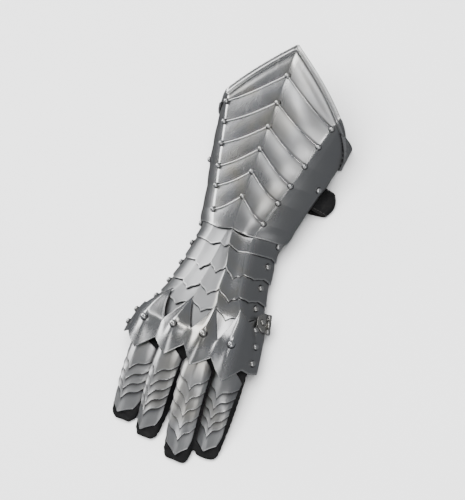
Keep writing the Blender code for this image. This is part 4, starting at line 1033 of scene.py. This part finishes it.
def palm_rings():
    """Closed sections of the glove's hand, from its mouth in the cuff to the knuckles."""
    s = np.linspace(CUFF_LENGTH - MOUTH_IN_CUFF, finger_start() + 0.004, 40)
    v = np.linspace(0.8, 6.2, 60)
    top = raised(s[:, None], v, -GLOVE_DEPTH)
    t = np.linspace(0, 1, 44)[1:-1]
    wide = top[:, -1:, :] + (top[:, :1, :] - top[:, -1:, :]) * t[:, None]
    floor = PALM_FLOOR * np.interp(s, (CUFF_LENGTH, station(0.3)), (0.6, 1.0))[:, None]
    sag = np.sin(math.pi * t) ** 0.45
    low = wide.copy()
    low[..., 2] = wide[..., 2] + (floor - wide[..., 2]) * sag
    return np.concatenate([top, low], axis=1)


def finger_rings(finger):
    """Closed sections of a glove finger: an oval under its plates, full at the sides and flat below."""
    tip = 0.94 + 0.14 * np.sin(np.linspace(0, math.pi / 2, 9))[1:]
    u = np.concatenate([np.linspace(-0.16, 0.94, 30), tip])
    x, s, keel = finger_line(finger, np.clip(u, 0, None))
    s = finger_start() + finger.length * u
    half = finger_half(finger, u) * 1.05
    end = 1 + 0.0030 / finger.length
    floor = 0.0003 + (PALM_FLOOR - 0.0003) * np.clip(1 - u / 0.62, 0, 1) ** 1.4
    top = keel - 0.0042
    bend = np.clip((u - 0.94) / 0.14, 0, 1)
    closing = np.sqrt(np.clip(1 - bend**2, 0.0, 1)) * 0.94 + 0.06
    height = np.maximum(top - floor, 0.0062)
    a = np.linspace(0, 2 * math.pi, 40, endpoint=False)
    flat = np.sign(np.sin(a)) * np.abs(np.sin(a)) ** 0.8
    wide = np.sign(np.cos(a)) * np.abs(np.cos(a)) ** 0.75
    middle = floor + height * 0.46
    z = middle[:, None] + (height[:, None] * np.where(flat > 0, 0.54, 0.46) * flat) * closing[:, None]
    lean = finger.lean * half * np.clip(1 - u / 0.5, 0, 1)
    z = z - lean[:, None] * np.clip(wide, 0, 1) * np.clip((z - floor[:, None]) / height[:, None], 0, 1)
    z = np.maximum(z, floor[:, None] + 0.0004 + 0.0035 * (1 - closing[:, None]))
    x = x[:, None] + half[:, None] * closing[:, None] * wide
    rings = np.stack([x, np.broadcast_to(-s[:, None], z.shape), z], axis=-1)
    return rings[s <= finger_start() + finger.length * (end + 0.02)]


def thumb_rings():
    """Closed sections of the glove's thumb, which lies under the palm beside the thumb guard."""
    u = np.concatenate([np.linspace(0, 0.92, 26), 0.92 + 0.11 * np.sin(np.linspace(0, math.pi / 2, 9))[1:]])
    s = station(0.24) + 0.62 * HAND_LENGTH * u
    low = key_points(s)[..., THUMB_LOW, 0]
    width, depth = 0.0200, 0.0130
    x = low - width * np.interp(u, (0, 0.25, 1), (1.25, 0.98, 0.98))
    rise = PALM_FLOOR * 0.55 * np.clip(1 - u / 0.3, 0, 1) ** 1.5
    z = depth / 2 + GUARD_FLOOR + STEEL + 0.0006 + rise
    bend = np.clip((u - 0.92) / 0.11, 0, 1)
    taper = (1 - 0.25 * u**2) * (np.sqrt(np.clip(1 - bend**2, 0, 1)) * 0.92 + 0.08)
    a = np.linspace(0, 2 * math.pi, 32, endpoint=False)
    return np.stack([
        x[:, None] + width / 2 * taper[:, None] * np.cos(a),
        np.broadcast_to(-s[:, None], (len(s), len(a))),
        z[:, None] + depth / 2 * taper[:, None] * np.sin(a),
    ], axis=-1)


def make_glove(leather, stitches):
    """One glove: palm, fingers and thumb as closed bodies, remeshed to one skin, smoothed and given a wall."""
    parts = Shell()
    parts.tube(palm_rings())
    parts.tube(thumb_rings())
    for finger in FINGERS:
        parts.tube(finger_rings(finger))
    body = mesh_object("glove", np.concatenate(parts.points) + SHIFT, parts.faces, leather)
    outward(body)
    remesh = body.modifiers.new("skin", "REMESH")
    remesh.mode = "VOXEL"
    remesh.voxel_size = 0.0013
    soften = body.modifiers.new("soften", "SMOOTH")
    soften.factor = 0.5
    soften.iterations = 6
    apply_modifiers(body)
    open_mouth(body, SHIFT[1] - (CUFF_LENGTH - MOUTH_IN_CUFF) - 0.0012)
    wrinkle(body)
    wall = body.modifiers.new("wall", "SOLIDIFY")
    wall.thickness = LEATHER * 0.8
    wall.offset = -1
    wall.use_even_offset = False
    apply_modifiers(body)
    body.data.shade_smooth()
    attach(body, "gauntlet")
    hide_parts("glove_palm", "glove_index", "glove_middle", "glove_ring", "glove_little", "glove_thumb")
    return body


def apply_modifiers(obj):
    graph = bpy.context.evaluated_depsgraph_get()
    made = bpy.data.meshes.new_from_object(obj.evaluated_get(graph), depsgraph=graph)
    obj.modifiers.clear()
    obj.data = made


def open_mouth(obj, y):
    """Cuts the closed skin open where it is nearer the elbow than y."""
    body = bmesh.new()
    body.from_mesh(obj.data)
    bmesh.ops.bisect_plane(body, geom=body.verts[:] + body.edges[:] + body.faces[:], plane_co=(0, y, 0),
                           plane_no=(0, 1, 0), clear_outer=True)
    body.to_mesh(obj.data)
    body.free()


def wrinkle(obj):
    """Small folds across the fingers and palm, in and out: a product of sines of the place."""
    mesh = obj.data
    points = np.empty(len(mesh.vertices) * 3)
    mesh.vertices.foreach_get("co", points)
    points = points.reshape(-1, 3)
    directions = np.empty(len(points) * 3)
    mesh.vertices.foreach_get("normal", directions)
    directions = directions.reshape(-1, 3)
    x, y, z = points.T * 1000
    folds = np.sin(y * 0.9 + 2.1 * np.sin(x * 0.21) + z * 0.3) * np.sin(y * 0.23 + x * 0.13 + 1.0)
    below = np.clip((20 - z) / 14, 0, 1)
    rise = 0.00028 * folds * (0.4 + 0.6 * below)
    rise = np.where(z < 1.2, np.minimum(rise, 0), rise)
    mesh.vertices.foreach_set("co", (points + directions * rise[:, None]).ravel())
    mesh.update()


# Thumb guard and hinge

def guard_skin(u, v):
    """Outer face of the thumb guard: v from 0 at its hinged edge to 1 at its lower edge, u along it."""
    u, v = np.broadcast_arrays(np.asarray(u, float), np.asarray(v, float))
    s = station(GUARD_START + GUARD_LENGTH * u)
    low = key_points(s)[..., THUMB_LOW, 0]
    places = np.linspace(0, 1, len(GUARD_PROFILE))
    eased = (-0.08, 0.0, 0.08)
    across = sum(np.interp(np.clip(v + o, 0, 1), places, [p[0] for p in GUARD_PROFILE]) for o in eased) / 3
    up = sum(np.interp(np.clip(v + o, 0, 1), places, [p[1] for p in GUARD_PROFILE]) for o in eased) / 3
    return np.stack([low + across * GUARD_REACH, -s, GUARD_FLOOR + up * GUARD_HEIGHT], axis=-1)


def guard_normals(u, v):
    along = guard_skin(u + 0.01, v) - guard_skin(u - 0.01, v)
    across = guard_skin(u, v + 0.03) - guard_skin(u, v - 0.03)
    return unit(np.cross(along, across))


def make_thumb_guard(steel):
    """The guard's skin cut into four plates, each raised one pitch over the next."""
    v = np.linspace(0, 1, 33)
    ends = [plate[2] for plate in GUARD_PLATES]
    for number, (name, start, end) in enumerate(GUARD_PLATES):
        stop = end - 0.06 * (1 - np.sin(math.pi * v))
        first = start + 0.0 * v
        if number == 0:
            first = 0.10 * (1 - np.sin(math.pi * np.clip(v * 1.2, 0, 1)))
        u = first + (stop - first) * np.linspace(0, 1, 22)[:, None]
        across = np.broadcast_to(v, u.shape)
        height = np.interp(u, ends, np.arange(len(ends)) * SCALE_PITCH) - number * SCALE_PITCH
        grid = guard_skin(u, across) + guard_normals(u, across) * height[..., None]
        edge = bell((stop - u) * GUARD_LENGTH * HAND_LENGTH, 0.0008)
        shell = Shell()
        # The guard plates take painted shade all over.
        shell.plate(grid[:, ::-1], FINGER_STEEL, edge=edge[:, ::-1], shade=0.4)
        shell.make(f"{name}_sheet", steel, body="thumb_guard", nodes=[name])


def hinge_frame():
    """The hinge's centre, its axis, and the two directions across it: down the plate and out from it."""
    s = station(HINGE_ALONG)
    spread_along = np.linspace(-HINGE_LENGTH / 2, HINGE_LENGTH / 2, 5)[:, None]
    v = np.array([0, 0.3, 0.6, 0.9])
    out = normals(skin, s, 0.4, dv=0.04)
    along = unit(skin(s + HINGE_LENGTH / 2, 0.0) - skin(s - HINGE_LENGTH / 2, 0.0))
    out = unit(out - along * (out @ along))
    down = np.cross(along, out)
    down = down if down[2] < 0 else -down
    height = lame_stack(s + spread_along) - COVERED_LAMES * LAME_PITCH
    near = raised(s + spread_along, v, height, surface=skin).reshape(-1, 3)
    origin = skin(s, 0.0)
    lift = ((near - origin) @ out).max() + 0.0003 + LEAF_THICKNESS / 2
    drop = ((near - origin) @ down).max() + 0.0003 + HINGE_RADIUS
    return origin + out * lift + down * drop, along, down, out


def slab(shell, outline, origin, a, b, c, low, high, bevel=0.00025, **values):
    """A flat outline raised from low to high along c, its rims drawn in by a bevel at both faces."""
    outline = np.asarray(outline, float)
    middle = outline.mean(axis=0)
    reach = np.linalg.norm(outline - middle, axis=1, keepdims=True)
    shrunk = outline - (outline - middle) / reach * bevel * 1.4
    levels = ((shrunk, low), (outline, low + bevel), (outline, high - bevel), (shrunk, high))
    rings = np.stack([origin + flat[:, :1] * a + flat[:, 1:] * b + c * level for flat, level in levels])
    shell.tube(rings, **values)


def turned(shell, centre, axis, profile, turns=28, **values):
    """A profile of (place along, radius) points turned round an axis."""
    axis = unit(np.asarray(axis, float))
    side = unit(np.cross(axis, (0.2, 0.3, 0.9)))
    other = np.cross(axis, side)
    t = np.linspace(0, 2 * math.pi, turns, endpoint=False)
    ring = np.cos(t)[:, None] * side + np.sin(t)[:, None] * other
    rings = np.stack([centre + axis * p + ring * r for p, r in profile])
    shell.tube(rings, **values)


def knuckle_profile(length, radius):
    half, chamfer = length / 2, 0.0003
    return ((-half, radius - chamfer), (-half + chamfer, radius), (half - chamfer, radius), (half, radius - chamfer))


def make_hinge(steel):
    centre, along, down, out = hinge_frame()
    half, knuckle = HINGE_LENGTH / 2, HINGE_LENGTH * 0.28
    low = -HINGE_RADIUS - 0.0004
    thick = LEAF_THICKNESS / 2
    shield = ((-half, low), (half, low), (half, low - 0.42 * LEAF_HEIGHT), (0.45 * half, low - LEAF_HEIGHT),
              (-0.45 * half, low - LEAF_HEIGHT), (-half, low - 0.42 * LEAF_HEIGHT))
    shell = Shell()
    # The leaves, knuckles and pin take painted shade all over, the pin the least.
    slab(shell, shield, centre, along, down, out, -thick, thick, shade=0.35)
    for side in (-1, 1):
        inner, outer = side * (half - knuckle) + side * 0.00015, side * half - side * 0.00015
        tongue = ((inner, low - 0.001), (outer, low - 0.001), (outer, 0), (inner, 0))
        slab(shell, tongue, centre, along, down, out, 0.00015 - thick, thick - 0.00015, bevel=0.0001,
             shade=0.35)
        place = centre + along * side * (half - knuckle / 2)
        turned(shell, place, along, knuckle_profile(knuckle, HINGE_RADIUS), shade=0.3)
    turned(shell, centre, along, ((-half - 0.0006, 0.0005), (-half - 0.0003, 0.0009), (half + 0.0003, 0.0009),
                                  (half + 0.0006, 0.0005)), shade=0.2)
    point = centre + down * (low - 0.45 * LEAF_HEIGHT) + out * thick
    shell.dome(point, out, 0.0027, 0.0022, collar=0.0003)
    shell.make("fixed_leaf", steel, nodes=["hinge_leaf"])
    make_moving_leaf(centre, along, steel)


def make_moving_leaf(centre, along, steel):
    """The centre knuckle, a bent tongue, and a shield-shaped plate on the thumb guard with its rivet."""
    u = (HINGE_ALONG - GUARD_START) / GUARD_LENGTH
    reach = HINGE_LENGTH * 0.36 / (GUARD_LENGTH * HAND_LENGTH)
    near = guard_skin(np.linspace(u - reach, u + reach, 5)[:, None], np.array([0.02, 0.2, 0.38]))
    near = near.reshape(-1, 3)
    top, low = guard_skin(u, 0.0), guard_skin(u, 0.4)
    run = unit(low - top - along * ((low - top) @ along))
    face = np.cross(along, run)
    face = face if face[0] > 0 else -face
    lift = ((near - top) @ face).max() + 0.0003
    half, length = HINGE_LENGTH * 0.36, np.linalg.norm(low - top)
    base = top + along * ((centre - top) @ along)
    outline = ((-half, 0), (half, 0), (half, 0.6 * length), (0.5 * half, length), (-0.5 * half, length),
               (-half, 0.6 * length))
    shell = Shell()
    # The moving leaf's plate, tongue and knuckle take painted shade all over.
    slab(shell, outline, base, along, run, face, lift, lift + LEAF_THICKNESS, shade=0.35)
    knuckle = HINGE_LENGTH * 0.44 - 2 * PLATE_GAP
    to_leaf = base + face * (lift + LEAF_THICKNESS / 2) + run * LEAF_THICKNESS * 0.8 - centre
    distance = np.linalg.norm(to_leaf)
    way = to_leaf / distance
    side = np.cross(along, way)
    t = LEAF_THICKNESS / 2
    strip = ((HINGE_RADIUS * 0.6, -t), (distance, -t), (distance, t), (HINGE_RADIUS * 0.6, t))
    slab(shell, strip, centre, way, side, along, -knuckle / 2 + 0.0002, knuckle / 2 - 0.0002, bevel=0.0001,
         shade=0.35)
    turned(shell, centre, along, knuckle_profile(knuckle, HINGE_RADIUS), shade=0.3)
    rivet = base + run * 0.5 * length + face * (lift + LEAF_THICKNESS)
    shell.dome(rivet, face, 0.0021, 0.0017, collar=0.0003)
    shell.make("moving_leaf", steel, body="thumb_guard", nodes=["thumb_leaf"])


# Strap

def strap_path(s):
    """The strap's middle line in the section at s, from inside the thumb side round to the other side."""
    inside = -STEEL - 0.0005 - STRAP_THICKNESS / 2
    places = np.array([1.5, 1.25, 1.04, 0.96, 0.7, 0.4, 0.0])
    half = float(key_points(CUFF_LENGTH * STRAP_PLACE)[THUMB_LOW, 0])
    thumb = raised(s, places, inside - 0.0002, surface=skin)
    little = raised(s, 7 - places[::-1], inside - 0.0002, surface=skin)
    turn = np.array([(x * half, -s, z * CUFF_HEIGHT + STRAP_THICKNESS / 2) for x, z, _ in STRAP_TURN])
    back = turn[::-1] * (-1, 1, 1)
    back[:, 0] *= [little_share for _, _, little_share in STRAP_TURN[::-1]]
    return np.concatenate([thumb, turn, back, little])


def resample(points, count, easing=3):
    """Points spaced evenly along a polyline, each then averaged with its neighbours a few times."""
    lengths = np.concatenate([[0], np.cumsum(np.linalg.norm(np.diff(points, axis=0), axis=1))])
    even = np.linspace(0, lengths[-1], count)
    made = np.stack([np.interp(even, lengths, points[:, i]) for i in range(3)], axis=1)
    for _ in range(easing):
        made[1:-1] = (made[:-2] + 2 * made[1:-1] + made[2:]) / 4
    return made


def make_strap(leather, stitches):
    """A belt: an oblong section with rounded edges carried along the path, and a row of stitches at each edge."""
    middle = CUFF_LENGTH * STRAP_PLACE
    path = resample(strap_path(middle), 150)
    near, far = (resample(strap_path(middle + o), 150) for o in (-STRAP_WIDTH / 2, STRAP_WIDTH / 2))
    wide = unit(far - near)
    reach = np.linalg.norm(far - near, axis=1) / 2
    run = unit(np.gradient(path, axis=0))
    out = unit(np.cross(run, wide))
    t = STRAP_THICKNESS / 2
    flat = [(x, -t) for x in np.linspace(-0.9, 0.9, 9)]
    face = [(-1, -0.6 * t), (-0.98, -t)] + flat + [(0.98, -t), (1, -0.6 * t)]
    section = np.array(face + [(-x, -z) for x, z in face])
    outwards = np.sign((out * (path - path.mean(axis=0))).sum(-1, keepdims=True))
    from_side = np.abs(path[:, :1]) - np.abs(path[:, 0]).max()
    swell = outwards * out * (STRAP_SWELL + STRAP_BEND_SWELL * bell(from_side, 0.010))
    rings = path[:, None] + wide[:, None] * (section[:, :1] * reach[:, None, None])
    rings = rings + out[:, None] * section[:, 1:] + swell[:, None] * (1 - section[:, :1] ** 2 * 1.5)
    shell = Shell()
    worn = np.tile(smooth_step((np.abs(section[:, 0]) - 0.93) / 0.07), (len(path), 1))
    shell.tube(rings, edge=worn)
    shell.make("strap_belt", leather, nodes=["strap"])
    lengths = np.concatenate([[0], np.cumsum(np.linalg.norm(np.diff(path, axis=0), axis=1))])
    sewn = Shell()
    angles = np.linspace(0, 2 * math.pi, 6, endpoint=False)
    circle = THREAD_RADIUS * np.stack([np.cos(angles), np.sin(angles)], axis=1)
    dip = np.array([-0.00035, 0.0, 0.00012, 0.0, -0.00035])[:, None]
    for share in (-0.86, 0.86):
        row = path + wide * share * reach[:, None]
        for start in np.arange(0.012, lengths[-1] - 0.012, STITCH_PITCH):
            places = np.linspace(start, start + STITCH_LENGTH, 5)
            at = np.stack([np.interp(places, lengths, row[:, i]) for i in range(3)], axis=1)
            up = unit(np.stack([np.interp(places, lengths, out[:, i]) for i in range(3)], axis=1))
            side = np.cross(unit(np.gradient(at, axis=0)), up)
            for face in (-1, 1):
                core = at + up * face * (t + dip)
                sewn.tube(core[:, None] + circle[:, :1] * side[:, None] + circle[:, 1:] * up[:, None])
    sewn.make("strap_stitches", stitches)


# Studio

StudioLamp = namedtuple("StudioLamp", "name place watts size tint mirrored", defaults=((1.0, 1.0, 1.0), True))
LAMPS = (
    StudioLamp("floor_fill", (0.0, 0.0, 2.2), 200.0, (2.5, 2.5), mirrored=False),
    StudioLamp("left_wall", (-1.7, 0.45, 0.60), 17.0, (1.5, 0.7)),
    StudioLamp("front_fill", (1.0, -1.3, 0.9), 7.0, (1.0, 0.8)),
    StudioLamp("top_strip", (-0.60, 0.62, 1.35), 3.2, (0.30, 1.1)),
    StudioLamp("front_left", (-0.55, -0.72, 1.15), 2.0, (0.45, 0.45)),
    StudioLamp("over_hand", (0.08, 0.37, 1.35), 1.7, (0.32, 0.32)),
    StudioLamp("right_strip", (0.50, -0.05, 1.36), 1.5, (0.25, 0.30), (1.0, 0.99, 0.97)),
)


def make_studio():
    """Pale floor, dim even world, and the lamps. The floor isn't mirrored, so the side plates stay dark."""
    mesh = bpy.data.meshes.new("floor")
    mesh.from_pydata([(-6, -6, 0), (6, -6, 0), (6, 6, 0), (-6, 6, 0)], [], [(0, 1, 2, 3)])
    look = Look("pale_floor")
    speck = look.noise(6, 2, 0.5)
    pale = look.tint(speck, colour(.84, .84, .84), colour(.87, .87, .87))
    mesh.materials.append(look.finish(Base_Color=pale, Roughness=0.9))
    floor = bpy.data.objects.new("floor", mesh)
    bpy.context.scene.collection.objects.link(floor)
    floor.visible_glossy = False
    world = bpy.data.worlds.new("studio")
    world.use_nodes = True
    world.node_tree.nodes["Background"].inputs[0].default_value = (0.93, 0.96, 1.0, 1)
    world.node_tree.nodes["Background"].inputs[1].default_value = 0.22
    bpy.context.scene.world = world
    middle = np.array([0.0, 0.0, 0.03])
    for lamp in LAMPS:
        add_lamp(lamp, middle)


def add_lamp(lamp, target):
    data = bpy.data.lights.new(lamp.name, "AREA")
    data.shape = "RECTANGLE"
    data.size, data.size_y = lamp.size
    data.energy = lamp.watts
    data.color = lamp.tint
    obj = bpy.data.objects.new(lamp.name, data)
    obj.location = lamp.place
    obj.visible_glossy = lamp.mirrored
    obj.rotation_euler = Vector(target - np.array(lamp.place)).to_track_quat("-Z", "Y").to_euler()
    bpy.context.scene.collection.objects.link(obj)


def dress():
    steel = polished_steel("polished_steel_plate")
    leather = black_leather("black_leather_skin")
    stitches = thread("black_thread")
    # A lighter copy of the plate steel, painted brighter so that rivets, ribs and balls look more brightly lit; it
    # is also smoother.
    painted_bright = polished_steel("rivet_steel_painted_brighter", light=0.84, rough=0.16)
    make_cuff(steel, painted_bright)
    for number, rib in enumerate(RIBS, 1):
        make_rib(number, rib, painted_bright)
    for number, lame in enumerate(LAMES):
        make_lame(number, lame, steel)
    make_knuckle_plate(steel, painted_bright)
    smoother = polished_steel("smooth_scale_steel", light=0.62, rough=0.27, hammering=0.0, brushing=0.10)
    for finger in FINGERS:
        make_finger_plates(finger, smoother)
    make_glove(leather, stitches)
    make_thumb_guard(steel)
    make_hinge(steel)
    make_strap(leather, stitches)
    make_studio()


dress()
